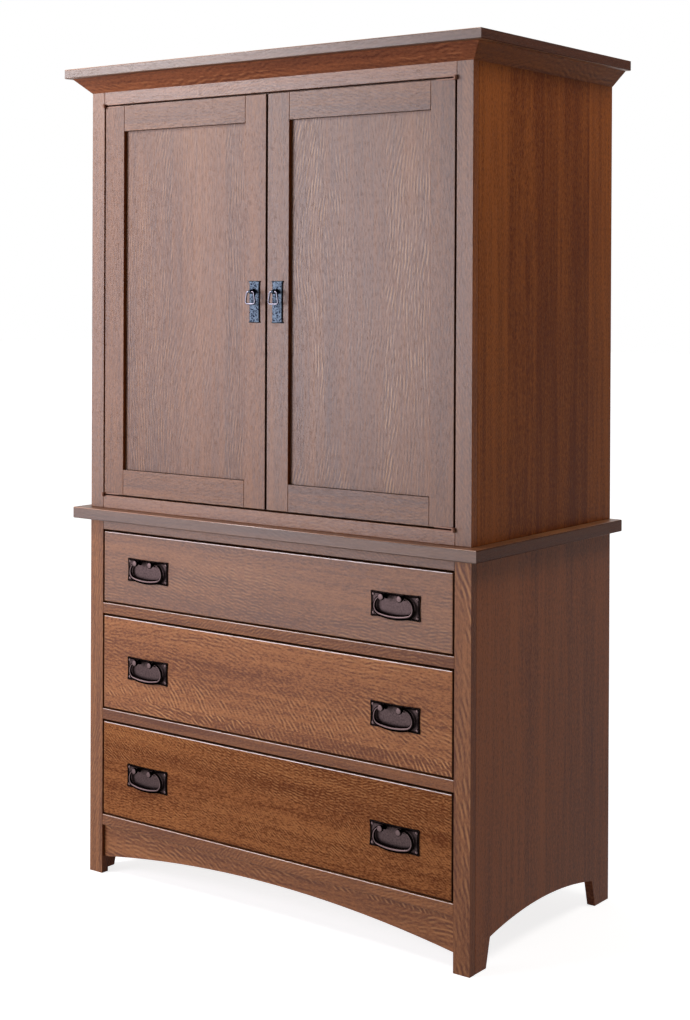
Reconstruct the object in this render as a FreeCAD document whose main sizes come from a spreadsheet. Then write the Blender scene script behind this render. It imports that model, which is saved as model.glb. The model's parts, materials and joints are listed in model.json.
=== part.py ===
"""Two-part oak armoire: a case with two panelled doors on a base with three drawers.

Millimetres, +Z up. The origin is on the floor, under the middle of the bounding box.
The front faces -Y. Left and right are those of someone who looks at the front.
"""
import FreeCAD, Part
import Sketcher
import math
import os
import re

document = FreeCAD.newDocument("Armoire")
Vector = FreeCAD.Vector
Rotation = FreeCAD.Rotation

# ---------------------------------------------------------------------------------------------
# The sheets. Sizes holds the driving dimensions. Layout holds the places worked out from them.
# ---------------------------------------------------------------------------------------------
sizes = document.addObject("Spreadsheet::Sheet", "Sizes")
layout = document.addObject("Spreadsheet::Sheet", "Layout")
sheet_of = {}


def write_row(sheet, name, content, what):
    """Writes one named cell, with what it means beside it."""
    row = sum(1 for owner in sheet_of.values() if owner == sheet.Name) + 1
    sheet.set(f"A{row}", what)
    sheet.set(f"B{row}", content)
    sheet.setAlias(f"B{row}", name)
    sheet_of[name] = sheet.Name


def bind(formula):
    """Turns the plain names in a formula into references to the sheets' cells."""
    def reference(word):
        name = word.group(0)
        return f"{sheet_of[name]}.{name}" if name in sheet_of else name

    return re.sub(r"[a-z][a-z0-9_]*", reference, formula)


def place(name, formula, what):
    """A place or size that follows from the driving dimensions."""
    write_row(layout, name, "=" + bind(formula), what)


# Driving dimensions, each set by itself: name, value, what it is.
SIZES = (
    # Both cases
    ("case_width", 1016, "width of both cases over their side panels"),
    ("case_depth", 548, "depth of both cases from the face frame to the back"),
    ("side_thickness", 19, "side panels, shelves and slide blocking"),
    ("frame_thickness", 19, "face frame and door thickness"),
    ("stile_width", 38, "face-frame stiles"),
    ("back_thickness", 6, "plywood back panels"),
    ("back_rabbet", 9.5, "how far the back panels reach into the side panels"),
    ("dado_depth", 6, "how far shelves and floors reach into the side panels"),
    ("tongue_shoulder", 6, "top of a shelf's or floor's tongue below its top"),
    ("tenon_thickness", 8, "face-frame tenons"),
    ("tenon_length", 20, "face-frame tenons"),
    ("tenon_shoulder", 3, "shoulder above and below a face-frame tenon"),

    # Base
    ("foot_clearance", 109, "floor to the underside of the bottom rail"),
    ("drawer_rail_width", 24, "rails under the drawers"),
    ("top_rail_width", 23, "rail above the top drawer"),
    ("deep_opening", 213, "height of the two lower drawer openings"),
    ("shallow_opening", 164, "height of the top drawer opening"),
    ("foot_width", 59, "side foot at the floor, with the stile"),
    ("foot_flare", 14, "how much wider the side foot is where the arch begins"),
    ("foot_height", 57, "where the side arch begins"),
    ("side_arch_height", 79, "top of the side arch"),
    ("apron_end_height", 36, "underside of the apron at the stiles"),
    ("apron_arch_height", 74, "underside of the apron in the middle"),
    ("apron_setback", 7, "apron behind the face frame"),
    ("dust_floor_thickness", 12, "plywood floor of the base"),
    ("waist_thickness", 25, "waist board"),
    ("waist_overhang", 28, "waist board in front of and beside the cases"),
    ("edge_ease", 2, "rounded edges of the waist and top boards"),
    ("cleat_width", 60, "cleats across the backs"),

    # Upper case
    ("door_opening_height", 870, "opening in the upper face frame"),
    ("upper_rail_face", 28.5, "visible width of the upper case's rails"),
    ("crown_height", 32, "bevelled crown moulding"),
    ("crown_projection", 32, "crown moulding in front of and beside the case"),
    ("top_thickness", 21, "top board"),
    ("top_overhang", 44, "top board in front of and beside the case"),
    ("fixed_shelf_height", 170, "underside of the fixed shelf above the case floor"),
    ("adjustable_shelf_height", 560, "underside of the adjustable shelf above the case floor"),
    ("shelf_setback", 12, "shelves behind the face frame"),
    ("shelf_side_gap", 1.5, "adjustable shelf to each side panel"),
    ("shelf_pin_radius", 3, "shelf pins"),
    ("shelf_pin_length", 18, "shelf pins, half of it in the side panel"),
    ("shelf_pin_inset", 60, "shelf pins from the ends of the shelf"),
    ("shelf_hole_pitch", 64, "spacing of the shelf-pin holes"),
    ("shelf_hole_reach", 64, "highest and lowest shelf-pin holes from the shelf's own"),
    ("pin_clearance", 0.2, "round a fixed pin in its hole"),
    ("port_radius", 32, "cable port in the back panel"),
    ("port_height", 90, "cable port above the fixed shelf"),
    ("grommet_wall", 3, "sleeve of the cable grommet"),
    ("grommet_flange", 7, "flange of the cable grommet beyond its sleeve"),
    ("grommet_flange_thickness", 2, "flange of the cable grommet"),

    # Writing tray
    ("tray_blocking_thickness", 46, "blocking strips of the tray's slides"),
    ("tray_back_gap", 119, "writing tray short of the back panel"),
    ("tray_thickness", 19, "writing tray"),
    ("tray_height", 60, "underside of the writing tray above the case floor"),
    ("tray_setback", 4, "writing tray behind the doors"),
    ("tray_lip_height", 12, "edging on the tray's front, below its underside"),
    ("tray_lip_thickness", 12, "edging on the tray's front"),

    # Doors
    ("door_gap", 3.5, "all round a door"),
    ("door_middle_gap", 4.5, "between the doors"),
    ("door_member", 57, "door stiles and rails"),
    ("panel_recess", 8, "door panel behind the door's face"),
    ("panel_thickness", 6.5, "door panel, and its groove"),
    ("panel_groove", 9, "depth of the panel groove, and length of the stub tenons"),
    ("panel_float", 1, "door panel short of the bottom of its groove"),
    ("stop_thickness", 16, "door stop strip behind the top rail"),
    ("stop_drop", 12, "door stop below the top rail"),
    ("catch_width", 46, "touch catch"),
    ("catch_depth", 30, "touch catch"),
    ("catch_height", 12, "touch catch"),
    ("strike_thickness", 1, "strike plate on the back of a door"),
    ("strike_width", 30, "strike plate"),

    # Knife hinges
    ("leaf_thickness", 2.5, "hinge leaves"),
    ("leaf_length", 44, "hinge leaves along the door"),
    ("leaf_width", 12, "hinge leaves into the door"),
    ("knuckle_radius", 3.5, "hinge knuckle, also how far its axis stands in front of the door"),
    ("hinge_pin_radius", 1.4, "hinge pin"),
    ("running_clearance", 0.05, "round a turning pin"),
    ("washer_gap", 0.2, "free play above a hinge washer"),

    # Drawers
    ("drawer_gap", 3.2, "all round a drawer front"),
    ("box_back_gap", 53, "drawer boxes short of the back panel"),
    ("box_board", 13, "sides, front and back of a drawer box"),
    ("box_drop", 14, "drawer box above its opening's lower edge"),
    ("box_headroom", 22, "drawer box below its opening's upper edge"),
    ("box_bottom", 6, "plywood bottom of a drawer box"),
    ("box_bottom_height", 10, "bottom above the lower edge of the box"),
    ("box_groove", 6, "depth of the groove for the bottom"),
    ("tail_pitch", 34, "dovetails at a corner of a box, about"),
    ("pin_narrow", 7, "dovetail pin at the face of the box"),
    ("pin_splay", 2.4, "how much a dovetail pin widens on each side"),

    # Drawer slides
    ("slide_short", 20, "drawer slides, also their full travel, shorter than a drawer box"),
    ("slide_thickness", 12.7, "closed slide between blocking and drawer box"),
    ("slide_height", 45, "slides"),
    ("slide_sheet", 1.3, "steel of the slides"),
    ("slide_play", 0.6, "between neighbouring slide members"),
    ("slide_setback", 4, "slides behind the face frame"),
    ("slide_lift", 45, "middle of a slide above the lower edge of its drawer box"),
    ("blocking_height", 70, "blocking strips behind the slides"),
    ("tray_slide_short", 50, "slides of the writing tray shorter than the tray"),

    # Bail pulls on the drawers
    ("pull_x", 332, "middle of a drawer pull from the middle of the drawer"),
    ("deep_pull_drop", 5.5, "pulls of the two deep drawers below the middle of their fronts"),
    ("pull_plate_width", 121, "bail plate"),
    ("pull_plate_height", 52, "bail plate"),
    ("pull_plate_thickness", 2, "bail plate"),
    ("pull_plate_hollow", 1.5, "how far the plate's edges curve in"),
    ("post_spacing", 44, "bail posts, middle to middle"),
    ("post_rise", 18, "bail axis above the middle of the plate"),
    ("post_radius", 4.5, "bail posts"),
    ("post_shank_radius", 2.5, "bail post in the drawer front"),
    ("post_shank_length", 12, "bail post in the drawer front"),
    ("ball_radius", 6.3, "turned ball on the end of a post"),
    ("ball_tip_radius", 3.6, "front and back ends of the ball"),
    ("ball_band", 4.4, "widest part of the ball, along the post"),
    ("ball_bevel", 3.2, "bevelled ends of the ball, along the post"),
    ("ball_reach", 14.5, "middle of the ball in front of the plate"),
    ("bail_standoff", 5.5, "bail axis in front of the plate"),
    ("bail_pin_radius", 2, "ends of the bail in its posts"),
    ("bail_overreach", 28, "bail beyond the middle of its posts, on each side"),
    ("bail_neck", 1.25, "straight ends of the bail outside its posts"),
    ("bail_drop", 45, "lowest point of the bail below its axis"),
    ("bail_belly_radius", 109, "radius of the bail's belly, outer side"),
    ("bail_inner_belly_radius", 256, "radius of the bail's belly, inner side"),
    ("bail_end_width", 5, "bail beside its posts"),
    ("bail_side_width", 6.5, "bail at its widest point"),
    ("bail_belly_width", 9.5, "bail at its lowest point"),
    ("bail_thickness", 5.5, "bail, front to back"),
    ("bail_bevel", 1.6, "bevelled front edges of the bail"),
    ("nail_half", 2.7, "half width of the square nail heads at the corners of a plate"),
    ("nail_tip_half", 0.6, "half width of a nail head at its tip"),
    ("nail_height", 1.6, "nail heads"),
    ("nail_inset", 6, "nail heads from the plate's edges"),

    # Ring pulls on the doors
    ("door_plate_height", 87, "ring-pull plate"),
    ("door_plate_width", 33, "ring-pull plate at its flared ends"),
    ("door_plate_waist", 27, "ring-pull plate at its waist"),
    ("door_plate_flare", 5, "height of the flared ends"),
    ("door_plate_thickness", 3, "ring-pull plate"),
    ("eye_rise", 21, "eye post above the middle of the plate"),
    ("eye_radius", 4.2, "eye post"),
    ("eye_length", 16, "eye post in front of the plate"),
    ("ring_standoff", 12, "ring axis in front of the plate"),
    ("ring_wire", 2, "radius over the corners of the ring's eight-sided bar"),
    ("ring_top", 12, "straight top of the ring, through its eye"),
    ("ring_width", 29, "ring over its lower corners"),
    ("ring_drop", 25, "ring's lowest middle line below its axis"),
    ("ring_corner", 5, "radius of the ring's lower corners, on the middle line"),
    ("ring_spread", 0.8, "lower corners of the ring, were they sharp, beyond its width"),
    ("ring_shoulder", 3, "radius of the ring's upper corners, on the middle line"),
)
for name, number, what in SIZES:
    write_row(sizes, name, str(number), what)

place("half_width", "case_width / 2", "middle to the outside of a side panel")
place("inner_half", "half_width - side_thickness", "middle to the inside of a side panel")
place("opening_half", "half_width - stile_width", "middle to a stile")
place("front_y", "(top_overhang - case_depth) / 2", "face of the face frame and the doors")
place("back_y", "front_y + case_depth", "back of both cases")
place("frame_back_y", "front_y + frame_thickness", "back of the face frame")
place("back_face_y", "back_y - back_thickness", "inner face of the back panels")
place("bottom_rail_z", "foot_clearance", "underside of the bottom rail")
place("drawer_3_z", "bottom_rail_z + drawer_rail_width", "lower edge of the bottom drawer's opening")
place("drawer_2_z", "drawer_3_z + deep_opening + drawer_rail_width", "lower edge of the middle opening")
place("drawer_1_z", "drawer_2_z + deep_opening + drawer_rail_width", "lower edge of the top opening")
place("top_rail_z", "drawer_1_z + shallow_opening", "underside of the base's top rail")
place("waist_z", "top_rail_z + top_rail_width", "underside of the waist board")
place("upper_z", "waist_z + waist_thickness", "top of the waist board")
place("opening_low_z", "upper_z + upper_rail_face", "lower edge of the door opening")
place("opening_high_z", "opening_low_z + door_opening_height", "upper edge of the door opening")
place("crown_z", "opening_high_z + upper_rail_face", "lower edge of the crown")
place("top_z", "crown_z + crown_height", "underside of the top board")
place("door_low_z", "opening_low_z + door_gap", "lower edge of a door")
place("door_high_z", "opening_high_z - door_gap", "upper edge of a door")
place("door_outer_x", "opening_half - door_gap", "middle to the outer edge of a door")
place("door_inner_x", "door_middle_gap / 2", "middle to the inner edge of a door")
place("hinge_x", "opening_half - door_gap / 2", "middle to a hinge axis")
place("hinge_y", "front_y - knuckle_radius", "hinge axes, in front of the doors")
place("box_half", "opening_half - slide_thickness", "middle to the outside of a drawer box")
place("box_front_y", "frame_back_y", "front of the drawer boxes")
place("box_back_y", "back_face_y - box_back_gap", "back of the drawer boxes")
place("slide_length", "box_back_y - box_front_y - slide_short", "drawer slides, also their full travel")
place("slide_front_y", "frame_back_y + slide_setback", "front end of the slides")
place("case_floor_z", "opening_low_z", "top of the upper case's floor")
place("fixed_shelf_z", "case_floor_z + fixed_shelf_height", "underside of the fixed shelf")
place("loose_shelf_z", "case_floor_z + adjustable_shelf_height", "underside of the adjustable shelf")
place("tray_z", "case_floor_z + tray_height", "underside of the writing tray")
place("tray_front_y", "frame_back_y + tray_setback", "front of the writing tray")
place("tray_back_y", "back_face_y - tray_back_gap", "back of the writing tray")
place("tray_slide_x", "inner_half - tray_blocking_thickness", "middle to the blocking of the tray's slides")
place("tray_half", "tray_slide_x - slide_thickness", "middle to the side of the writing tray")
place("tray_slide_length", "tray_back_y - tray_front_y - tray_slide_short", "slides of the writing tray")
place("port_z", "fixed_shelf_z + side_thickness + port_height", "middle of the cable port")
place("plate_face_y", "front_y - pull_plate_thickness", "face of a bail plate")
place("bail_y", "plate_face_y - bail_standoff", "axis of the bails")
place("door_pull_x", "door_inner_x + door_member / 2", "middle of a ring-pull plate")
place("door_pull_z", "(opening_low_z + opening_high_z) / 2", "middle of a ring-pull plate")
place("door_plate_y", "front_y - door_plate_thickness", "face of a ring-pull plate")
place("ring_y", "door_plate_y - ring_standoff", "axis of the rings")
place("ring_z", "door_pull_z + eye_rise", "axis of the rings")
document.recompute()

# Name, lower edge and height of each drawer's opening, and its pulls below the middle of the front.
DRAWERS = (
    ("drawer_1", "drawer_1_z", "shallow_opening", "0"),
    ("drawer_2", "drawer_2_z", "deep_opening", "deep_pull_drop"),
    ("drawer_3", "drawer_3_z", "deep_opening", "deep_pull_drop"),
)


def value(formula):
    """What a formula on the sheets comes to."""
    return float(layout.evalExpression(bind(formula)))


# ---------------------------------------------------------------------------------------------
# Workshop operations
# ---------------------------------------------------------------------------------------------
def board(name, x, y, z):
    """A square-edged board between two places along each axis."""
    box = document.addObject("Part::Box", name)
    for axis, side, (low, high) in (("x", "Length", x), ("y", "Width", y), ("z", "Height", z)):
        box.setExpression(side, bind(f"({high}) - ({low})"))
        box.setExpression(f"Placement.Base.{axis}", bind(low))
    return box


TURNS = {"x": Rotation(Vector(0, 1, 0), 90), "y": Rotation(Vector(1, 0, 0), -90), "z": Rotation()}


def rod(name, axis, start, length, radius):
    """A round bar that starts at a place (x, y, z) and runs along an axis."""
    bar = document.addObject("Part::Cylinder", name)
    bar.Placement = FreeCAD.Placement(Vector(), TURNS[axis])
    bar.setExpression("Radius", bind(radius))
    bar.setExpression("Height", bind(length))
    for letter, formula in zip("xyz", start):
        bar.setExpression(f"Placement.Base.{letter}", bind(formula))
    return bar


def together(name, *pieces):
    """Separate solids kept in one sub-part."""
    group = document.addObject("Part::Compound", name)
    group.Links = list(pieces)
    return group


def joined(name, *pieces):
    """Pieces made into one solid."""
    union = document.addObject("Part::MultiFuse", name)
    union.Shapes = list(pieces)
    union.Refine = True
    return union


def cut(name, base, *tools):
    """A piece with the tools' shapes taken out of it."""
    result = document.addObject("Part::Cut", name)
    result.Base = base
    result.Tool = tools[0] if len(tools) == 1 else together(name + "_cutters", *tools)
    return result


def common(name, first, second):
    """What two shapes share."""
    result = document.addObject("Part::Common", name)
    result.Base = first
    result.Tool = second
    return result


def mirrored(name, piece):
    """The other hand of a piece, across the middle of the armoire."""
    twin = document.addObject("Part::Mirroring", name)
    twin.Source = piece
    twin.Normal = Vector(1, 0, 0)
    return twin


def both_hands(name, *pieces):
    """Left pieces with their right-hand twins, in one sub-part."""
    left = pieces[0] if len(pieces) == 1 else together(name + "_left_hand", *pieces)
    return together(name, left, mirrored(name + "_right_hand", left))


def own_plane(body, role):
    """One of a body's own origin planes."""
    return next(plane for plane in body.Origin.OriginFeatures if plane.Role == role)


def sketch_loop(body, role, corners):
    """A closed outline on one of the body's planes.

    Each corner is (across, up, radius): the formulas of its place and of the radius of the arc that leads
    on to the next corner. The radius is None for a straight edge, and the arc's centre lies on the left of
    the direction of travel, or on the right where the formula starts with a minus sign.
    """
    sketch = body.newObject("Sketcher::SketchObject", body.Name + "_outline")
    sketch.AttachmentSupport = (own_plane(body, role), "")
    sketch.MapMode = "FlatFace"
    points = [Vector(value(across), value(up), 0) for across, up, _ in corners]
    starts = []
    ends = []
    for index, (_, _, radius) in enumerate(corners):
        here = points[index]
        there = points[(index + 1) % len(points)]
        if radius is None:
            sketch.addGeometry(Part.LineSegment(here, there), False)
            starts.append((index, 1))
            ends.append((index, 2))
            continue
        on_right = radius.startswith("-")
        reach = abs(value(radius))
        chord = there - here
        left = Vector(-chord.y, chord.x, 0).normalize()
        depth = math.sqrt(reach ** 2 - (chord.Length / 2) ** 2)
        centre = (here + there) * 0.5 + left * (-depth if on_right else depth)
        angles = [math.atan2(point.y - centre.y, point.x - centre.x) for point in (here, there)]
        if on_right:
            angles.reverse()
        circle = Part.Circle(centre, Vector(0, 0, 1), reach)
        sketch.addGeometry(Part.ArcOfCircle(circle, angles[0], angles[1]), False)
        starts.append((index, 2 if on_right else 1))
        ends.append((index, 1 if on_right else 2))
    for index, (across, up, radius) in enumerate(corners):
        joint = Sketcher.Constraint("Coincident", *ends[index - 1], *starts[index])
        sketch.addConstraint(joint)
        for kind, formula, now in (("DistanceX", across, points[index].x), ("DistanceY", up, points[index].y)):
            number = sketch.addConstraint(Sketcher.Constraint(kind, -1, 1, *starts[index], now))
            sketch.setExpression(f"Constraints[{number}]", bind(formula))
        if radius is not None:
            formula = radius.lstrip("-")
            number = sketch.addConstraint(Sketcher.Constraint("Radius", index, value(formula)))
            sketch.setExpression(f"Constraints[{number}]", bind(formula))
    return sketch


def shaped(name, role, corners, thickness, start):
    """A body with a drawn outline: the pad of a sketch, moved to its place."""
    body = document.addObject("PartDesign::Body", name)
    sketch = sketch_loop(body, role, corners)
    pad = body.newObject("PartDesign::Pad", name + "_pad")
    pad.Profile = sketch
    pad.setExpression("Length", bind(thickness))
    sketch.Visibility = False
    for letter, formula in zip("xyz", start):
        body.setExpression(f"Placement.Base.{letter}", bind(formula))
    return body


def eased_board(name, x, y, z, edges):
    """A board whose front and end edges are rounded over, the edges given by their places in the box."""
    body = document.addObject("PartDesign::Body", name)
    box = body.newObject("PartDesign::AdditiveBox", name + "_board")
    for axis, side, (low, high) in (("x", "Length", x), ("y", "Width", y), ("z", "Height", z)):
        box.setExpression(side, bind(f"({high}) - ({low})"))
        body.setExpression(f"Placement.Base.{axis}", bind(low))
    document.recompute()
    ease = body.newObject("PartDesign::Fillet", name + "_ease")
    chosen = [f"Edge{number}" for number, edge in enumerate(box.Shape.Edges, start=1) if edges(edge, box)]
    ease.Base = (box, chosen)
    ease.setExpression("Radius", bind("edge_ease"))
    return body


def front_and_ends(edge, box):
    """Picks the long edges of a board's front and ends, top and bottom, and leaves the back square."""
    middle = edge.CenterOfMass
    level = abs(edge.Vertexes[0].Z - edge.Vertexes[-1].Z) < 0.001
    return level and middle.y < box.Width.Value - 0.001


subparts = []


def keep(piece, name=None):
    """Marks a finished sub-part, whose label names its file."""
    if name:
        piece.Label = name
    subparts.append(piece)
    return piece


# ---------------------------------------------------------------------------------------------
# Side panels. Solid boards with a rabbet for the back panel and dadoes for floors and shelves.
# ---------------------------------------------------------------------------------------------
place("side_arch_half", "case_depth / 2 - foot_width - foot_flare", "half the side arch")
place("side_arch_rise", "side_arch_height - foot_height", "rise of the side arch")
place("side_arch_radius", "(side_arch_half ^ 2 + side_arch_rise ^ 2) / (2 * side_arch_rise)", "side arch")
place("apron_rise", "apron_arch_height - apron_end_height", "rise of the apron's arch")
place("apron_radius", "(opening_half ^ 2 + apron_rise ^ 2) / (2 * apron_rise)", "apron's arch")
document.recompute()

base_side_outline = [
    ("frame_back_y", "0", None),
    ("front_y + foot_width", "0", None),
    ("front_y + foot_width + foot_flare", "foot_height", "-side_arch_radius"),
    ("back_y - foot_width - foot_flare", "foot_height", None),
    ("back_y - foot_width", "0", None),
    ("back_y", "0", None),
    ("back_y", "waist_z", None),
    ("frame_back_y", "waist_z", None),
]
base_side_board = shaped("base_side_board", "YZ_Plane", base_side_outline, "side_thickness",
                         ("-half_width", "0", "0"))
base_rabbet = board("base_rabbet", ("-inner_half - back_rabbet", "-inner_half"), ("back_face_y", "back_y"),
                    ("bottom_rail_z", "waist_z"))
base_dado = board("base_dado", ("-inner_half - dado_depth", "-inner_half"), ("frame_back_y", "back_face_y"),
                  ("bottom_rail_z", "bottom_rail_z + dust_floor_thickness"))
base_side_left = keep(cut("base_side_left", base_side_board, base_rabbet, base_dado))
keep(mirrored("base_side_right", base_side_left))

upper_side_board = board("upper_side_board", ("-half_width", "-inner_half"), ("frame_back_y", "back_y"),
                         ("upper_z", "top_z"))
upper_cuts = [
    board("upper_rabbet", ("-inner_half - back_rabbet", "-inner_half"), ("back_face_y", "back_y"),
          ("upper_z", "top_z")),
    board("upper_floor_dado", ("-inner_half - dado_depth", "-inner_half"), ("frame_back_y", "back_face_y"),
          ("case_floor_z - side_thickness", "case_floor_z - tongue_shoulder")),
    board("fixed_shelf_dado", ("-inner_half - dado_depth", "-inner_half"),
          ("frame_back_y + shelf_setback", "back_face_y"),
          ("fixed_shelf_z", "fixed_shelf_z + side_thickness - tongue_shoulder")),
]
place("front_pin_y", "frame_back_y + shelf_setback + shelf_pin_inset", "front row of shelf pins")
place("back_pin_y", "back_face_y - shelf_setback - shelf_pin_inset", "back row of shelf pins")
place("pin_z", "loose_shelf_z - shelf_pin_radius", "shelf pins")
document.recompute()
holes_each_way = int(value("shelf_hole_reach / shelf_hole_pitch"))
for row, pin_y in (("front", "front_pin_y"), ("back", "back_pin_y")):
    for number, step in enumerate(range(-holes_each_way, holes_each_way + 1), start=1):
        hole = rod(f"shelf_hole_{row}_{number}", "x",
                   ("-inner_half - shelf_pin_length / 2", pin_y, f"pin_z + {step} * shelf_hole_pitch"),
                   "shelf_pin_length", "shelf_pin_radius + pin_clearance")
        upper_cuts.append(hole)
upper_side_left = keep(cut("upper_side_left", upper_side_board, *upper_cuts))
keep(mirrored("upper_side_right", upper_side_left))

# ---------------------------------------------------------------------------------------------
# Face frames. Rails tenoned into stiles; the base's stiles run down to the floor as front feet.
# ---------------------------------------------------------------------------------------------
place("tenon_y", "front_y + (frame_thickness - tenon_thickness) / 2", "front of a face-frame tenon")
document.recompute()


def frame_tenons(name, low, high):
    """The bar that a rail's two tenons are made from, also the shape of their mortises."""
    return board(name, ("-opening_half - tenon_length", "opening_half + tenon_length"),
                 ("tenon_y", "tenon_y + tenon_thickness"),
                 (f"{low} + tenon_shoulder", f"{high} - tenon_shoulder"))


def frame_rail(name, low, high):
    """A face-frame rail with a tenon at each end."""
    face = board(name + "_face", ("-opening_half", "opening_half"), ("front_y", "frame_back_y"), (low, high))
    return joined(name, face, frame_tenons(name + "_tenons", low, high))


base_levels = {
    "bottom_rail": ("bottom_rail_z", "drawer_3_z"),
    "lower_drawer_rail": ("drawer_2_z - drawer_rail_width", "drawer_2_z"),
    "upper_drawer_rail": ("drawer_1_z - drawer_rail_width", "drawer_1_z"),
    "top_rail": ("top_rail_z", "waist_z"),
}
base_rails = [frame_rail(name, low, high) for name, (low, high) in base_levels.items()]
base_cleat = board("base_cleat", ("-inner_half", "inner_half"),
                   ("back_face_y - side_thickness", "back_face_y"), ("waist_z - cleat_width", "waist_z"))
keep(together("base_rails", *base_rails, base_cleat))

apron_front = "front_y + apron_setback"
apron_back = "front_y + apron_setback + side_thickness"
apron_outline = [
    ("-opening_half", "apron_end_height", "-apron_radius"),
    ("opening_half", "apron_end_height", None),
    ("opening_half", "bottom_rail_z", None),
    ("-opening_half", "bottom_rail_z", None),
]
keep(shaped("apron", "XZ_Plane", apron_outline, "side_thickness", ("0", apron_back, "0")))

base_stile = board("base_stile_left", ("-half_width", "-opening_half"), ("front_y", "frame_back_y"),
                   ("0", "waist_z"))
base_mortises = [frame_tenons(name + "_mortise", low, high) for name, (low, high) in base_levels.items()]
keep(both_hands("base_stiles", cut("base_stile_mortised", base_stile, *base_mortises)))

upper_levels = {
    "upper_bottom_rail": ("upper_z", "opening_low_z"),
    "upper_top_rail": ("opening_high_z", "top_z"),
}


def leaf(name, low, high):
    """A knife-hinge leaf on the left: a plate let into the wood, its knuckle standing in front."""
    plate = board(name + "_plate", ("-door_outer_x", "-door_outer_x + leaf_length"),
                  ("front_y", "front_y + leaf_width"), (low, high))
    neck = board(name + "_neck", ("-door_outer_x", "-hinge_x + knuckle_radius"),
                 ("hinge_y", "front_y"), (low, high))
    knuckle = rod(name + "_knuckle", "z", ("-hinge_x", "hinge_y", low), f"({high}) - ({low})",
                  "knuckle_radius")
    return joined(name, plate, neck, knuckle)


def leaf_recess(name, low, high):
    """The recess that a hinge leaf lies in."""
    return board(name, ("-door_outer_x", "-door_outer_x + leaf_length"),
                 ("front_y", "front_y + leaf_width"), (low, high))


frame_leaf_levels = {
    "bottom": ("opening_low_z - leaf_thickness", "opening_low_z"),
    "top": ("opening_high_z", "opening_high_z + leaf_thickness"),
}
door_leaf_levels = {
    "bottom": ("door_low_z", "door_low_z + leaf_thickness"),
    "top": ("door_high_z - leaf_thickness", "door_high_z"),
}
washer_levels = {
    "bottom": ("opening_low_z + washer_gap", "door_low_z"),
    "top": ("door_high_z", "opening_high_z - washer_gap"),
}
upper_rails = []
for name, (low, high) in upper_levels.items():
    end = "top" if "top" in name else "bottom"
    recess = leaf_recess(name + "_recess_left", *frame_leaf_levels[end])
    recesses = both_hands(name + "_recesses", recess)
    upper_rails.append(cut(name + "_recessed", frame_rail(name, low, high), recesses))
door_stop = board("door_stop", ("-opening_half", "opening_half"),
                  ("frame_back_y", "frame_back_y + stop_thickness"),
                  ("opening_high_z - stop_drop", "crown_z"))
upper_cleat = board("upper_cleat", ("-inner_half", "inner_half"),
                    ("back_face_y - side_thickness", "back_face_y"), ("top_z - cleat_width", "top_z"))
keep(together("upper_rails", *upper_rails, door_stop, upper_cleat))

upper_stile = board("upper_stile_left", ("-half_width", "-opening_half"), ("front_y", "frame_back_y"),
                    ("upper_z", "top_z"))
upper_mortises = [frame_tenons(name + "_mortise", low, high) for name, (low, high) in upper_levels.items()]
keep(both_hands("upper_stiles", cut("upper_stile_mortised", upper_stile, *upper_mortises)))

# ---------------------------------------------------------------------------------------------
# Floors, backs, shelves, waist board, crown and top board
# ---------------------------------------------------------------------------------------------
keep(board("base_floor", ("-inner_half - dado_depth", "inner_half + dado_depth"),
           ("frame_back_y", "back_face_y"), ("bottom_rail_z", "bottom_rail_z + dust_floor_thickness")))
keep(board("base_back", ("-inner_half - back_rabbet", "inner_half + back_rabbet"),
           ("back_face_y", "back_y"), ("bottom_rail_z", "waist_z")))
keep(eased_board("waist_board", ("-half_width - waist_overhang", "half_width + waist_overhang"),
                 ("front_y - waist_overhang", "back_y"), ("waist_z", "upper_z"), front_and_ends))


def housed_board(name, y, z):
    """A board with a tongue at each end, flush with its underside, that lies in a side panel's dado."""
    middle = board(name + "_middle", ("-inner_half", "inner_half"), y, z)
    tongues = board(name + "_tongues", ("-inner_half - dado_depth", "inner_half + dado_depth"), y,
                    (z[0], f"{z[1]} - tongue_shoulder"))
    return joined(name, middle, tongues)


keep(housed_board("upper_floor", ("frame_back_y", "back_face_y"),
                  ("case_floor_z - side_thickness", "case_floor_z")))

back_panel = board("upper_back_panel", ("-inner_half - back_rabbet", "inner_half + back_rabbet"),
                   ("back_face_y", "back_y"), ("upper_z", "top_z"))
port_hole = rod("port_hole", "y", ("0", "back_face_y", "port_z"), "back_thickness",
                "port_radius + pin_clearance")
keep(cut("upper_back", back_panel, port_hole))
sleeve = rod("grommet_sleeve", "y", ("0", "back_face_y", "port_z"), "back_thickness", "port_radius")
flange = rod("grommet_flange_disc", "y", ("0", "back_face_y - grommet_flange_thickness", "port_z"),
             "grommet_flange_thickness", "port_radius + grommet_flange")
passage = rod("grommet_passage", "y", ("0", "back_face_y - grommet_flange_thickness", "port_z"),
              "back_thickness + grommet_flange_thickness", "port_radius - grommet_wall")
keep(cut("cable_grommet", joined("grommet_blank", sleeve, flange), passage))

keep(housed_board("fixed_shelf", ("frame_back_y + shelf_setback", "back_face_y"),
                  ("fixed_shelf_z", "fixed_shelf_z + side_thickness")))
keep(board("adjustable_shelf", ("-inner_half + shelf_side_gap", "inner_half - shelf_side_gap"),
           ("frame_back_y + shelf_setback", "back_face_y - shelf_setback"),
           ("loose_shelf_z", "loose_shelf_z + side_thickness")))
shelf_pins = [
    rod(f"shelf_pin_{row}", "x", ("-inner_half - shelf_pin_length / 2", pin_y, "pin_z"), "shelf_pin_length",
        "shelf_pin_radius")
    for row, pin_y in (("front", "front_pin_y"), ("back", "back_pin_y"))
]
keep(both_hands("shelf_pins", *shelf_pins))

keep(eased_board("top_board", ("-half_width - top_overhang", "half_width + top_overhang"),
                 ("front_y - top_overhang", "back_y"), ("top_z", "top_z + top_thickness"), front_and_ends))


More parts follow.
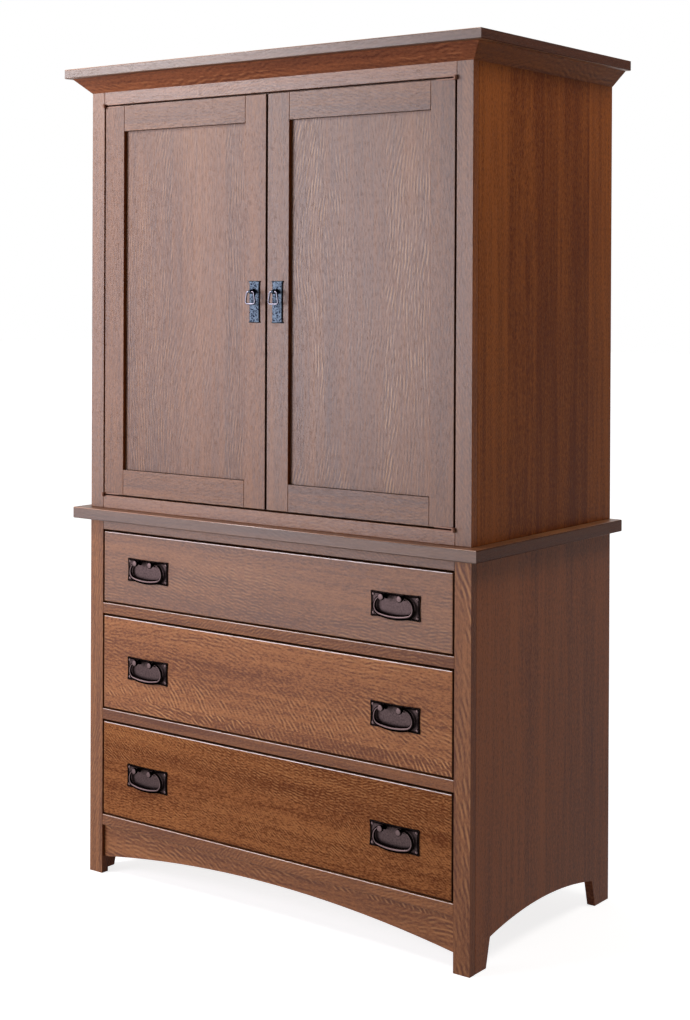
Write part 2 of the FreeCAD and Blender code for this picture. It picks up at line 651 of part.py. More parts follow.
def wedge(name, limits, turn=None, start=("0", "0", "0")):
    """A block whose low-Y face and high-Y face differ in width: limits names its sides."""
    block = document.addObject("Part::Wedge", name)
    if turn:
        block.Placement = FreeCAD.Placement(Vector(), turn)
    for side, formula in limits.items():
        block.setExpression(side, bind(formula))
    for letter, formula in zip("xyz", start):
        block.setExpression(f"Placement.Base.{letter}", bind(formula))
    return block


# The crown is a flared block round the case, hollow where the case stands, cut apart at its mitres.
crown_flare = wedge("crown_flare", {
    "Xmin": "-half_width", "Xmax": "half_width", "Zmin": "-back_y", "Zmax": "-front_y",
    "Ymin": "0", "Ymax": "crown_height",
    "X2min": "-half_width - crown_projection", "X2max": "half_width + crown_projection",
    "Z2min": "-back_y", "Z2max": "crown_projection - front_y",
}, Rotation(Vector(1, 0, 0), 90), ("0", "0", "crown_z"))
crown_core = board("crown_core", ("-half_width", "half_width"), ("front_y", "back_y"), ("crown_z", "top_z"))
crown_mitre = wedge("crown_mitre", {
    "Xmin": "-half_width - crown_projection", "Xmax": "half_width + crown_projection",
    "X2min": "-half_width", "X2max": "half_width", "Ymin": "front_y - crown_projection", "Ymax": "front_y",
    "Zmin": "crown_z", "Zmax": "top_z", "Z2min": "crown_z", "Z2max": "top_z",
})
crown_ring = cut("crown_ring", crown_flare, crown_core)
keep(common("crown_front", crown_ring, crown_mitre))
keep(cut("crown_returns", crown_ring, crown_mitre))

# ---------------------------------------------------------------------------------------------
# Slides: three nested steel channels. Section places run inwards from the blocking strip.
# ---------------------------------------------------------------------------------------------
def channel(name, centre_z, ends, web, flange_end, half_height):
    """A left-hand slide channel with its web between two places and its flanges reaching to a third."""
    inward, outward = web
    reach = sorted_span(web, flange_end)
    blank = board(name + "_blank", reach, ends,
                  (f"{centre_z} - ({half_height})", f"{centre_z} + {half_height}"))
    hollow_x = (outward, flange_end) if reach[0] == inward else (flange_end, inward)
    hollow_z = (f"{centre_z} - ({half_height}) + slide_sheet", f"{centre_z} + {half_height} - slide_sheet")
    hollow = board(name + "_hollow", hollow_x, ends, hollow_z)
    return cut(name, blank, hollow)


def sorted_span(web, flange_end):
    """The span of a channel: from its web's outer face to the far end of its flanges."""
    low, high = web
    return (low, flange_end) if value(flange_end) > value(high) else (flange_end, high)


place("case_member_half", "slide_height / 2", "half height of the case member")
place("middle_member_half", "case_member_half - slide_sheet - slide_play", "half height, middle member")
place("drawer_member_half", "middle_member_half - slide_sheet - slide_play", "half height, inner member")
document.recompute()


def slide_members(name, outer_x, centre_z, length):
    """The case, middle and drawer members of one left-hand slide, closed."""
    ends = ("slide_front_y", f"slide_front_y + {length}")
    case_member = channel(name + "_case", centre_z, ends, (outer_x, f"{outer_x} + slide_sheet"),
                          f"{outer_x} + slide_thickness - slide_sheet - slide_play", "case_member_half")
    middle_x = f"{outer_x} + slide_sheet + slide_play"
    middle_member = channel(name + "_middle", centre_z, ends, (middle_x, f"{middle_x} + slide_sheet"),
                            f"{outer_x} + slide_thickness - slide_sheet - slide_play", "middle_member_half")
    inner_x = f"{outer_x} + slide_thickness"
    drawer_member = channel(name + "_inner", centre_z, ends, (f"{inner_x} - slide_sheet", inner_x),
                            f"{middle_x} + slide_sheet + slide_play", "drawer_member_half")
    return case_member, middle_member, drawer_member


case_members = []
blocking = []
drawer_slides = {}
for name, opening_z, _, _ in DRAWERS:
    centre_z = f"{opening_z} + box_drop + slide_lift"
    members = slide_members(name + "_slide", "-opening_half", centre_z, "slide_length")
    case_members.append(members[0])
    drawer_slides[name] = members[1:]
    blocking.append(board(name + "_blocking", ("-inner_half", "-opening_half"),
                          ("frame_back_y", "back_face_y"),
                          (f"{centre_z} - blocking_height / 2", f"{centre_z} + blocking_height / 2")))
keep(both_hands("slide_case_members", *case_members))

place("tray_slide_z", "tray_z + tray_thickness - slide_height / 2", "middle of the tray's slides")
document.recompute()
tray_slide = slide_members("tray_slide", "-tray_slide_x", "tray_slide_z", "tray_slide_length")
keep(both_hands("tray_slides", *tray_slide))
blocking.append(board("tray_blocking", ("-inner_half", "-tray_slide_x"),
                      ("frame_back_y + shelf_setback", "back_face_y"),
                      ("case_floor_z", "tray_slide_z + blocking_height / 2")))
keep(both_hands("slide_blocking", *blocking))

tray_board = board("tray_board", ("-tray_half", "tray_half"),
                   ("tray_front_y + tray_lip_thickness", "tray_back_y"),
                   ("tray_z", "tray_z + tray_thickness"))
tray_lip = board("tray_lip", ("-tray_half", "tray_half"),
                 ("tray_front_y", "tray_front_y + tray_lip_thickness"),
                 ("tray_z - tray_lip_height", "tray_z + tray_thickness"))
tray_bearer = board("tray_bearer", ("-tray_half", "-tray_half + side_thickness"),
                    ("tray_front_y + tray_lip_thickness", "tray_back_y"),
                    ("tray_slide_z - slide_height / 2", "tray_z"))
keep(together("writing_tray", tray_board, tray_lip, both_hands("tray_bearers", tray_bearer)))

# ---------------------------------------------------------------------------------------------
# Doors. Stiles and rails grooved round a floating panel; the left door, and its twin on the right.
# ---------------------------------------------------------------------------------------------
place("door_left_x", "-door_outer_x", "left edge of the left door")
place("door_right_x", "-door_inner_x", "right edge of the left door")
place("groove_y", "front_y + panel_recess", "face of the door panels")
document.recompute()
door_y = ("front_y", "frame_back_y")
groove_span = ("groove_y", "groove_y + panel_thickness")
door_height = ("door_low_z", "door_high_z")
rail_x = ("door_left_x + door_member", "door_right_x - door_member")

hinge_stile = cut(
    "door_hinge_stile",
    board("hinge_stile_board", ("door_left_x", "door_left_x + door_member"), door_y, door_height),
    board("hinge_stile_groove", ("door_left_x + door_member - panel_groove", "door_left_x + door_member"),
          groove_span, door_height),
    leaf_recess("hinge_stile_recess_bottom", *door_leaf_levels["bottom"]),
    leaf_recess("hinge_stile_recess_top", *door_leaf_levels["top"]),
)
shank_hole = rod("eye_shank_hole", "y", ("-door_pull_x", "front_y", "ring_z"), "post_shank_length",
                 "post_shank_radius + pin_clearance")
pull_stile = cut(
    "door_pull_stile",
    board("pull_stile_board", ("door_right_x - door_member", "door_right_x"), door_y, door_height),
    board("pull_stile_groove", ("door_right_x - door_member", "door_right_x - door_member + panel_groove"),
          groove_span, door_height),
    shank_hole,
)
left_stiles = keep(together("door_left_stiles", hinge_stile, pull_stile))
keep(mirrored("door_right_stiles", left_stiles))


def door_rail(name, low, high, groove):
    """A door rail with stub tenons in the stiles' grooves, and a groove of its own for the panel."""
    face = board(name + "_face", rail_x, door_y, (low, high))
    tenons = board(name + "_tenons", (f"{rail_x[0]} - panel_groove", f"{rail_x[1]} + panel_groove"),
                   groove_span, (low, high))
    slot = board(name + "_groove", (f"{rail_x[0]} - panel_groove", f"{rail_x[1]} + panel_groove"),
                 groove_span, groove)
    return cut(name, joined(name + "_blank", face, tenons), slot)


left_rails = keep(together(
    "door_left_rails",
    door_rail("door_bottom_rail", "door_low_z", "door_low_z + door_member",
              ("door_low_z + door_member - panel_groove", "door_low_z + door_member")),
    door_rail("door_top_rail", "door_high_z - door_member", "door_high_z",
              ("door_high_z - door_member", "door_high_z - door_member + panel_groove")),
))
keep(mirrored("door_right_rails", left_rails))
left_panel = keep(board(
    "door_left_panel",
    (f"{rail_x[0]} - panel_groove + panel_float", f"{rail_x[1]} + panel_groove - panel_float"), groove_span,
    ("door_low_z + door_member - panel_groove + panel_float",
     "door_high_z - door_member + panel_groove - panel_float")))
keep(mirrored("door_right_panel", left_panel))

# Hinges: the pin is fixed in the door's leaf, passes its washer and turns in the frame's leaf.
frame_leaves = []
door_hardware = []
for end in ("bottom", "top"):
    low, high = frame_leaf_levels[end]
    eye = rod(f"frame_leaf_eye_{end}", "z", ("-hinge_x", "hinge_y", low), "leaf_thickness",
              "hinge_pin_radius + running_clearance")
    frame_leaves.append(cut(f"frame_leaf_{end}", leaf(f"frame_leaf_blank_{end}", low, high), eye))
    door_low, door_high = door_leaf_levels[end]
    washer_low, washer_high = washer_levels[end]
    washer = rod(f"washer_{end}", "z", ("-hinge_x", "hinge_y", washer_low),
                 f"({washer_high}) - ({washer_low})", "knuckle_radius")
    pin_low = low if end == "bottom" else door_low
    pin = rod(f"hinge_pin_{end}", "z", ("-hinge_x", "hinge_y", pin_low), "2 * leaf_thickness + door_gap",
              "hinge_pin_radius")
    door_hardware.append(joined(f"door_leaf_{end}", leaf(f"door_leaf_blank_{end}", door_low, door_high),
                                washer, pin))
keep(both_hands("hinge_frame_leaves", *frame_leaves))

place("catch_x", "door_inner_x + door_member / 2", "middle of a touch catch")
document.recompute()
strike = board("door_strike", ("-catch_x - strike_width / 2", "-catch_x + strike_width / 2"),
               ("frame_back_y", "frame_back_y + strike_thickness"),
               ("opening_high_z - stop_drop - catch_height", "opening_high_z - stop_drop"))
left_hardware = keep(together("door_left_hardware", *door_hardware, strike))
keep(mirrored("door_right_hardware", left_hardware))
catch = board("touch_catch_left", ("-catch_x - catch_width / 2", "-catch_x + catch_width / 2"),
              ("frame_back_y + strike_thickness", "frame_back_y + strike_thickness + catch_depth"),
              ("opening_high_z - stop_drop - catch_height", "opening_high_z - stop_drop"))
keep(both_hands("door_catches", catch))

# ---------------------------------------------------------------------------------------------
# Ring pulls: a plate with flared ends, an eye post, and a ring that hangs from it.
# ---------------------------------------------------------------------------------------------
half_end = "door_plate_width / 2"
half_waist = "door_plate_waist / 2"
plate_top = "door_plate_height / 2"
shoulder = "door_plate_height / 2 - door_plate_flare"
door_plate_outline = [
    (f"-{half_end}", f"-{plate_top}", None),
    (half_end, f"-{plate_top}", None),
    (half_waist, f"-({shoulder})", None),
    (half_waist, shoulder, None),
    (half_end, plate_top, None),
    (f"-{half_end}", plate_top, None),
    (f"-{half_waist}", shoulder, None),
    (f"-{half_waist}", f"-({shoulder})", None),
]
door_plate_blank = shaped("door_plate_blank", "XZ_Plane", door_plate_outline, "door_plate_thickness",
                          ("-door_pull_x", "front_y", "door_pull_z"))
eye_seat = rod("eye_seat", "y", ("-door_pull_x", "door_plate_y", "ring_z"), "door_plate_thickness",
               "post_shank_radius + pin_clearance")
eye_shank = rod("eye_shank", "y", ("-door_pull_x", "door_plate_y", "ring_z"),
                "door_plate_thickness + post_shank_length", "post_shank_radius")
eye_body = rod("eye_body", "y", ("-door_pull_x", "door_plate_y - eye_length", "ring_z"), "eye_length",
               "eye_radius")
eye_hole = rod("eye_hole", "x", ("-door_pull_x - eye_radius", "ring_y", "ring_z"), "2 * eye_radius",
               "ring_wire + running_clearance")
left_plate = keep(together(
    "door_left_pull_plate",
    cut("door_plate", door_plate_blank, eye_seat),
    cut("eye_post", joined("eye_post_blank", eye_shank, eye_body), eye_hole),
))
keep(mirrored("door_right_pull_plate", left_plate))


BAR_SIDES = 8


def bar_along(corners, radius):
    """An eight-sided bar bent along a closed run of corners (x, z, bend radius), in the plane of a door."""
    edges = []
    ends = []
    count = len(corners)
    points = [Vector(x, 0, z) for x, z, bend in corners]
    for index, (x, z, bend) in enumerate(corners):
        here = points[index]
        back = (points[index - 1] - here).normalize()
        ahead = (points[(index + 1) % count] - here).normalize()
        half = back.getAngle(ahead) / 2
        inset = bend / math.tan(half)
        towards = (back + ahead).normalize()
        centre = here + towards * (bend / math.sin(half))
        ends.append((here + back * inset, centre - towards * bend, here + ahead * inset))
    for index, (start, middle, finish) in enumerate(ends):
        edges.append(Part.Arc(start, middle, finish).toShape())
        edges.append(Part.LineSegment(finish, ends[(index + 1) % count][0]).toShape())
    head = ends[0][0]
    outward = Vector(0, 1, 0)
    sideways = outward.cross(edges[0].tangentAt(edges[0].FirstParameter))
    rim = []
    for side in range(BAR_SIDES + 1):
        turn = 2 * math.pi * (side + 0.5) / BAR_SIDES
        rim.append(head + outward * (radius * math.cos(turn)) + sideways * (radius * math.sin(turn)))
    return Part.Wire(edges).makePipe(Part.Face(Part.makePolygon(rim)))


def drawn(name, shape, start):
    """A shape worked out from the sheets, moved to its place."""
    feature = document.addObject("Part::Feature", name)
    feature.Shape = shape
    feature.Placement = FreeCAD.Placement(Vector(*[value(formula) for formula in start]), Rotation())
    return feature


ring_foot = value("ring_width / 2 - ring_wire + ring_spread")
ring_head = value("ring_top / 2 + ring_shoulder")
ring_low = -value("ring_drop")
ring_corners = [
    (-ring_head, 0, value("ring_shoulder")),
    (-ring_foot, ring_low, value("ring_corner")),
    (ring_foot, ring_low, value("ring_corner")),
    (ring_head, 0, value("ring_shoulder")),
]
left_ring = keep(drawn("door_left_ring", bar_along(ring_corners, value("ring_wire")),
                       ("-door_pull_x", "ring_y", "ring_z")))
keep(mirrored("door_right_ring", left_ring))

# ---------------------------------------------------------------------------------------------
# Drawers: an oak front on a box whose corners are dovetailed, its bottom in grooves.
# ---------------------------------------------------------------------------------------------
def dovetail_pins(name, hand, end, low, high):
    """The pins at one corner of a box: narrow at its face, wide inside, half a pin at each edge."""
    tails = max(1, round(value(f"({high} - ({low})) / tail_pitch")))
    side_x = ("-box_half", "-box_half + box_board") if hand == "left" else ("box_half - box_board", "box_half")
    outer, inner = ("box_front_y", "box_front_y + box_board") if end == "front" else (
        "box_back_y", "box_back_y - box_board")
    pins = []
    for number in range(tails + 1):
        middle = f"{low} + ({high} - ({low})) * {number} / {tails}"
        below = "0" if number == 0 else "pin_narrow / 2"
        above = "0" if number == tails else "pin_narrow / 2"
        splay_below = "0" if number == 0 else "pin_splay"
        splay_above = "0" if number == tails else "pin_splay"
        narrow = (f"{middle} - {below}", f"{middle} + {above}")
        wide = (f"{middle} - {below} - {splay_below}", f"{middle} + {above} + {splay_above}")
        if end == "front":
            limits = {"Ymin": outer, "Ymax": inner, "Zmin": narrow[0], "Zmax": narrow[1],
                      "Z2min": wide[0], "Z2max": wide[1]}
        else:
            limits = {"Ymin": inner, "Ymax": outer, "Zmin": wide[0], "Zmax": wide[1],
                      "Z2min": narrow[0], "Z2max": narrow[1]}
        limits.update({"Xmin": side_x[0], "Xmax": side_x[1], "X2min": side_x[0], "X2max": side_x[1]})
        pins.append(wedge(f"{name}_{number}", limits))
    return pins


def dovetailed_box(name, low, high):
    """The boards and bottom of one drawer box."""
    bottom_z = f"{low} + box_bottom_height"
    bottom = board(name + "_bottom",
                   ("-box_half + box_board - box_groove", "box_half - box_board + box_groove"),
                   ("box_front_y + box_board - box_groove", "box_back_y - box_board + box_groove"),
                   (bottom_z, f"{bottom_z} + box_bottom"))
    pins = {(hand, end): dovetail_pins(f"{name}_pin_{hand}_{end}", hand, end, low, high)
            for hand in ("left", "right") for end in ("front", "back")}
    boards = [bottom]
    for hand, side_x in (("left", ("-box_half", "-box_half + box_board")),
                         ("right", ("box_half - box_board", "box_half"))):
        side = board(f"{name}_{hand}", side_x, ("box_front_y", "box_back_y"), (low, high))
        boards.append(cut(f"{name}_{hand}_side", side, *pins[hand, "front"], *pins[hand, "back"], bottom))
    for end, end_y in (("front", ("box_front_y", "box_front_y + box_board")),
                       ("back", ("box_back_y - box_board", "box_back_y"))):
        middle = board(f"{name}_{end}", ("-box_half + box_board", "box_half - box_board"), end_y, (low, high))
        blank = joined(f"{name}_{end}_blank", middle, *pins["left", end], *pins["right", end])
        boards.append(cut(f"{name}_{end}_board", blank, bottom))
    return together(name, *boards)


# ---------------------------------------------------------------------------------------------
# Bail pulls: a plate with hollow edges and nail heads, two ball posts, and a swelling bail.
# ---------------------------------------------------------------------------------------------
place("long_edge_radius", "(pull_plate_width ^ 2 / 4 + pull_plate_hollow ^ 2) / (2 * pull_plate_hollow)",
      "long edges of a bail plate")
place("short_edge_radius", "(pull_plate_height ^ 2 / 4 + pull_plate_hollow ^ 2) / (2 * pull_plate_hollow)",
      "short edges of a bail plate")
document.recompute()
pull_plate_outline = [
    ("-pull_plate_width / 2", "-pull_plate_height / 2", "-long_edge_radius"),
    ("pull_plate_width / 2", "-pull_plate_height / 2", "-short_edge_radius"),
    ("pull_plate_width / 2", "pull_plate_height / 2", "-long_edge_radius"),
    ("-pull_plate_width / 2", "pull_plate_height / 2", "-short_edge_radius"),
]


def post_places(pull_x):
    """The x places of a pull's two posts."""
    return f"{pull_x} - post_spacing / 2", f"{pull_x} + post_spacing / 2"


def turned_ball(name, post_x, post_z):
    """The ball of a post: a band between two bevels."""
    band = rod(name + "_band", "y", (post_x, "plate_face_y - ball_reach - ball_band / 2", post_z), "ball_band",
               "ball_radius")
    pieces = [band]
    for end, direction, turn in (("front", "-", 90), ("back", "+", -90)):
        bevel = document.addObject("Part::Cone", f"{name}_{end}")
        bevel.Placement = FreeCAD.Placement(Vector(), Rotation(Vector(1, 0, 0), turn))
        bevel.setExpression("Radius1", bind("ball_radius"))
        bevel.setExpression("Radius2", bind("ball_tip_radius"))
        bevel.setExpression("Height", bind("ball_bevel"))
        for letter, formula in (("x", post_x), ("y", f"plate_face_y - ball_reach {direction} ball_band / 2"),
                                ("z", post_z)):
            bevel.setExpression(f"Placement.Base.{letter}", bind(formula))
        pieces.append(bevel)
    return pieces


def bail_plate(name, pull_x, pull_z):
    """One plate with its nail heads, and its two posts."""
    blank = shaped(name + "_blank", "XZ_Plane", pull_plate_outline, "pull_plate_thickness",
                   (pull_x, "front_y", pull_z))
    nails = []
    for across in ("-", "+"):
        nail_x = f"{pull_x} {across} (pull_plate_width / 2 - nail_inset)"
        for up in ("-", "+"):
            nail_z = f"{pull_z} {up} (pull_plate_height / 2 - nail_inset)"
            nails.append(wedge(f"{name}_nail_{len(nails) + 1}", {
                "Ymin": "plate_face_y - nail_height", "Ymax": "plate_face_y",
                "Xmin": f"{nail_x} - nail_tip_half", "Xmax": f"{nail_x} + nail_tip_half",
                "Zmin": f"{nail_z} - nail_tip_half", "Zmax": f"{nail_z} + nail_tip_half",
                "X2min": f"{nail_x} - nail_half", "X2max": f"{nail_x} + nail_half",
                "Z2min": f"{nail_z} - nail_half", "Z2max": f"{nail_z} + nail_half",
            }))
    seats = [rod(f"{name}_seat_{number}", "y", (post_x, "plate_face_y", f"{pull_z} + post_rise"),
                 "pull_plate_thickness", "post_shank_radius + pin_clearance")
             for number, post_x in enumerate(post_places(pull_x))]
    pieces = [cut(name + "_plate", joined(name + "_nailed", blank, *nails), *seats)]
    for number, post_x in enumerate(post_places(pull_x)):
        post = f"{name}_post_{number + 1}"
        post_z = f"{pull_z} + post_rise"
        shank = rod(post + "_shank", "y", (post_x, "plate_face_y", post_z),
                    "pull_plate_thickness + post_shank_length", "post_shank_radius")
        neck = rod(post + "_neck", "y", (post_x, "plate_face_y - ball_reach", post_z), "ball_reach",
                   "post_radius")
        ball = turned_ball(post + "_ball", post_x, post_z)
        eye = rod(post + "_eye", "x", (f"{post_x} - post_radius", "bail_y", post_z), "2 * post_radius",
                  "bail_pin_radius + running_clearance")
        pieces.append(cut(post, joined(post + "_blank", shank, neck, *ball), eye))
    return together(name, *pieces)


def arc_run(half_width, start_z, shoulder_radius, belly_radius, low_z):
    """One edge of a bail from its right end to its lowest point: shoulder, side and belly arcs that flow on.

    Returns the three (start, middle, end) arcs in the plane of the drawer front. The side's radius is the
    one that touches both the shoulder's end and the belly.
    """
    turn = Vector(half_width, 0, start_z - shoulder_radius)
    shoulder_centre = Vector(half_width - shoulder_radius, 0, turn.z)
    slant = math.sqrt(0.5) * shoulder_radius
    head = Vector(shoulder_centre.x, 0, start_z)
    shoulder_middle = shoulder_centre + Vector(slant, 0, slant)
    drop = turn.z - low_z
    side_radius = (2 * belly_radius * drop - half_width ** 2 - drop ** 2) / (2 * (belly_radius - half_width))
    side_centre = Vector(half_width - side_radius, 0, turn.z)
    belly_centre = Vector(0, 0, low_z + belly_radius)
    direction = (side_centre - belly_centre).normalize()
    meeting = side_centre + direction * side_radius
    lean = math.atan2(-direction.z, direction.x)
    side_middle = side_centre + Vector(math.cos(lean / 2), 0, -math.sin(lean / 2)) * side_radius
    reach = math.atan2(direction.x, -direction.z)
    belly_middle = belly_centre + Vector(math.sin(reach / 2), 0, -math.cos(reach / 2)) * belly_radius
    return ((head, shoulder_middle, turn), (turn, side_middle, meeting),
            (meeting, belly_middle, Vector(0, 0, low_z)))


def bail_shape():
    """A bail about its own axis: flat, swelling to its belly, bevelled in front, a pin at each end."""
    half = value("post_spacing / 2 + bail_overreach")
    end_half = value("bail_end_width / 2")
    side_width = value("bail_side_width")
    belly_width = value("bail_belly_width")
    thickness = value("bail_thickness")
    head_x = value("post_spacing / 2 + post_radius + running_clearance + pin_clearance")
    shoulder_radius = half - head_x - value("bail_neck")
    low_z = -value("bail_drop")
    outer = arc_run(half, end_half, shoulder_radius, value("bail_belly_radius"), low_z)
    inner = arc_run(half - side_width, -end_half, shoulder_radius - end_half - side_width / 2,
                    value("bail_inner_belly_radius"), low_z + belly_width)
    right = [Part.LineSegment(Vector(head_x, 0, end_half), outer[0][0]).toShape()]
    right += [Part.Arc(*points).toShape() for points in outer]
    inner_edges = [Part.Arc(*points).toShape() for points in inner]
    tail = Part.LineSegment(Vector(head_x, 0, -end_half), inner[0][0]).toShape()
    cap = Part.LineSegment(Vector(head_x, 0, end_half), Vector(head_x, 0, -end_half)).toShape()
    waist = Part.LineSegment(Vector(0, 0, low_z), Vector(0, 0, low_z + belly_width)).toShape()
    face = Part.Face(Part.Wire(Part.__sortEdges__(right + [waist, cap, tail] + inner_edges)))
    face.translate(Vector(0, -thickness / 2, 0))
    half_bar = face.extrude(Vector(0, thickness, 0))
    whole = half_bar.fuse(half_bar.mirror(Vector(), Vector(1, 0, 0))).removeSplitter()
    rims = []
    for edge in whole.Edges:
        in_front = abs(edge.CenterOfMass.y + thickness / 2) < 0.001
        upright = edge.Curve.TypeId == "Part::GeomLine" and abs(edge.tangentAt(edge.FirstParameter).z) > 0.5
        if in_front and not upright:
            rims.append(edge)
    bar = whole.makeChamfer(value("bail_bevel"), rims)
    pin_start = value("post_spacing / 2 - post_radius")
    pins = []
    for sign in (-1, 1):
        start = min(sign * pin_start, sign * (head_x + end_half))
        length = head_x + end_half - pin_start
        pins.append(Part.makeCylinder(value("bail_pin_radius"), length, Vector(start, 0, 0), Vector(1, 0, 0)))
    return bar.multiFuse(pins).removeSplitter()


bail = bail_shape()
for name, opening_z, opening_height, pull_drop in DRAWERS:
    front_z = (f"{opening_z} + drawer_gap", f"{opening_z} + {opening_height} - drawer_gap")
    pull_z = f"{opening_z} + {opening_height} / 2 - {pull_drop}"
    front_board = board(name + "_front_board", ("-opening_half + drawer_gap", "opening_half - drawer_gap"),
                        ("front_y", "frame_back_y"), front_z)
    holes = []
    for pull_x in ("-pull_x", "pull_x"):
        for post_x in post_places(pull_x):
            holes.append(rod(f"{name}_hole_{len(holes) + 1}", "y",
                             (post_x, "front_y", f"{pull_z} + post_rise"), "post_shank_length",
                             "post_shank_radius + pin_clearance"))
    keep(cut(name + "_front", front_board, *holes))
    keep(dovetailed_box(name + "_box", f"{opening_z} + box_drop",
                        f"{opening_z} + {opening_height} - box_headroom"))
    middle_member, drawer_member = drawer_slides[name]
    keep(both_hands(name + "_slide_members", drawer_member))
    keep(both_hands(name + "_middle_slides", middle_member))
    plates = [bail_plate(f"{name}_pull_{hand}", pull_x, pull_z)
              for hand, pull_x in (("left", "-pull_x"), ("right", "pull_x"))]
    keep(together(name + "_pull_plates", *plates))
    for hand, pull_x in (("left", "-pull_x"), ("right", "pull_x")):
        keep(drawn(f"{name}_bail_{hand}", bail, (pull_x, "bail_y", f"{pull_z} + post_rise")))

# ---------------------------------------------------------------------------------------------
# Checks and files
# ---------------------------------------------------------------------------------------------
document.recompute()
for item in document.Objects:
    if "Invalid" in item.State or "Error" in item.State:
        raise RuntimeError(f"{item.Label} failed: {item.State}")
for piece in subparts:
    if piece.Shape.isNull() or not piece.Shape.isValid() or not piece.Shape.Solids:
        raise RuntimeError(f"{piece.Label} has no valid shape")
os.makedirs("parts", exist_ok=True)
for piece in subparts:
    piece.Shape.exportStep(f"parts/{piece.Label}.step")
print(len(subparts), "sub-parts,", sum(len(piece.Shape.Solids) for piece in subparts), "solids")
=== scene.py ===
"""The finished armoire: quarter-sawn oak in a red-brown stain, with bronze bails and hammered ring pulls.

Metres, +Z up, the front towards -Y. Every piece lies round the solids of the frame.
"""
import json
import math

import bmesh
import bpy
from mathutils import Matrix, Vector, noise


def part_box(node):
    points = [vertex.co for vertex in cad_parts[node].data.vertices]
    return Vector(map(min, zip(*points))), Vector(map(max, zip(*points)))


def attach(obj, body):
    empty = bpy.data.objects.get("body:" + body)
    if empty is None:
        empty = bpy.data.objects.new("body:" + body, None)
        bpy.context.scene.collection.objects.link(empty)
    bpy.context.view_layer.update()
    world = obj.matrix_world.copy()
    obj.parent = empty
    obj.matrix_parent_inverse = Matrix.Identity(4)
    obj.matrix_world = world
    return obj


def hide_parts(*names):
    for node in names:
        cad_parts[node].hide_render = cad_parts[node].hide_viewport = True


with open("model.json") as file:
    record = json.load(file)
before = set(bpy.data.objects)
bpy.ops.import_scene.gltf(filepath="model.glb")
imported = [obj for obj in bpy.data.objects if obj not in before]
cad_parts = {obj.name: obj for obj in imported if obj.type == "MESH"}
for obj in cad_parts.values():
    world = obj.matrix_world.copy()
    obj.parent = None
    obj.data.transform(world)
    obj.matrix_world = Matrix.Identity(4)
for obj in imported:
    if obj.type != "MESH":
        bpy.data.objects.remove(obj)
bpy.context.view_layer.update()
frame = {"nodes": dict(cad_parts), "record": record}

# ---------------------------------------------------------------------------------------------
# Side panels. Upright quarter-sawn boards glued edge to edge, in a red-brown stain under satin
# lacquer. Their arrises are sanded round by hand.
# ---------------------------------------------------------------------------------------------


def feed(tree, socket, source):
    """Gives a socket another node's output, or a number or colour of its own."""
    if isinstance(source, bpy.types.NodeSocket):
        tree.links.new(source, socket)
    else:
        socket.default_value = source


def put(tree, kind, *sources, **settings):
    """Adds a node, its first sockets fed in order, and returns it."""
    added = tree.nodes.new(kind)
    for setting, chosen in settings.items():
        setattr(added, setting, chosen)
    for socket, source in zip(added.inputs, sources):
        if source is not None:
            feed(tree, socket, source)
    return added


def calc(tree, operation, *sources, clamp=False):
    """A sum of numbers."""
    return put(tree, "ShaderNodeMath", *sources, operation=operation, use_clamp=clamp).outputs[0]


def calc_places(tree, operation, *sources):
    """A sum of places."""
    return put(tree, "ShaderNodeVectorMath", *sources, operation=operation).outputs[0]


def swayed(tree, steady, soft, weight):
    """A steady value that soft noise moves as far up as down."""
    return calc(tree, "MULTIPLY_ADD", calc(tree, "SUBTRACT", soft, 0.5), weight, steady)


def cloud(tree, place, *magnified, detail=2.0, rough=0.5):
    """Soft noise between 0 and 1, of a place that is magnified by a number in each direction."""
    soft = put(tree, "ShaderNodeTexNoise")
    feed(tree, soft.inputs["Vector"], calc_places(tree, "MULTIPLY", place, magnified))
    soft.inputs["Scale"].default_value = 1.0
    soft.inputs["Detail"].default_value = detail
    soft.inputs["Roughness"].default_value = rough
    return soft.outputs[0]


def ramp(tree, source, low, high, to_low=0.0, to_high=1.0):
    """Turns the span from low to high into another, with soft ends."""
    return put(tree, "ShaderNodeMapRange", source, low, high, to_low, to_high,
               interpolation_type="SMOOTHSTEP").outputs[0]


def blended(tree, factor, first, second):
    """Two colours mixed by a factor."""
    mixer = put(tree, "ShaderNodeMix", data_type="RGBA")
    for socket, source in zip((mixer.inputs[0], mixer.inputs[6], mixer.inputs[7]), (factor, first, second)):
        feed(tree, socket, source)
    return mixer.outputs[2]


def shader_group(name, inputs, outputs):
    """An empty node group with named sockets, and its two ends."""
    tree = bpy.data.node_groups.new(name, "ShaderNodeTree")
    for label, kind in inputs.items():
        tree.interface.new_socket(label, in_out="INPUT", socket_type=kind)
    for label, kind in outputs.items():
        tree.interface.new_socket(label, in_out="OUTPUT", socket_type=kind)
    return tree, tree.nodes.new("NodeGroupInput"), tree.nodes.new("NodeGroupOutput")


NUMBER, COLOUR, PLACE = "NodeSocketFloat", "NodeSocketColor", "NodeSocketVector"

# Places in the wood run along the grain, across the glued-up face, and through the board. Lean is
# the angle of the flecks to the grain at the Middle of the board, Fan how fast it grows across it,
# and Turn how far their flow wanders.
quarter_sawn, wood_in, wood_out = shader_group("quarter-sawn oak", {
    "Place": PLACE, "Seed": NUMBER, "Board Width": NUMBER, "Board Contrast": NUMBER, "Fleck": NUMBER,
    "Pitch": NUMBER, "Dash": NUMBER, "Lean": NUMBER, "Turn": NUMBER, "Fan": NUMBER, "Middle": NUMBER,
    "Speckle": NUMBER, "Dark": COLOUR, "Light": COLOUR, "Ray": COLOUR,
}, {"Color": COLOUR, "Roughness": NUMBER, "Height": NUMBER})
tree, given = quarter_sawn, wood_in.outputs

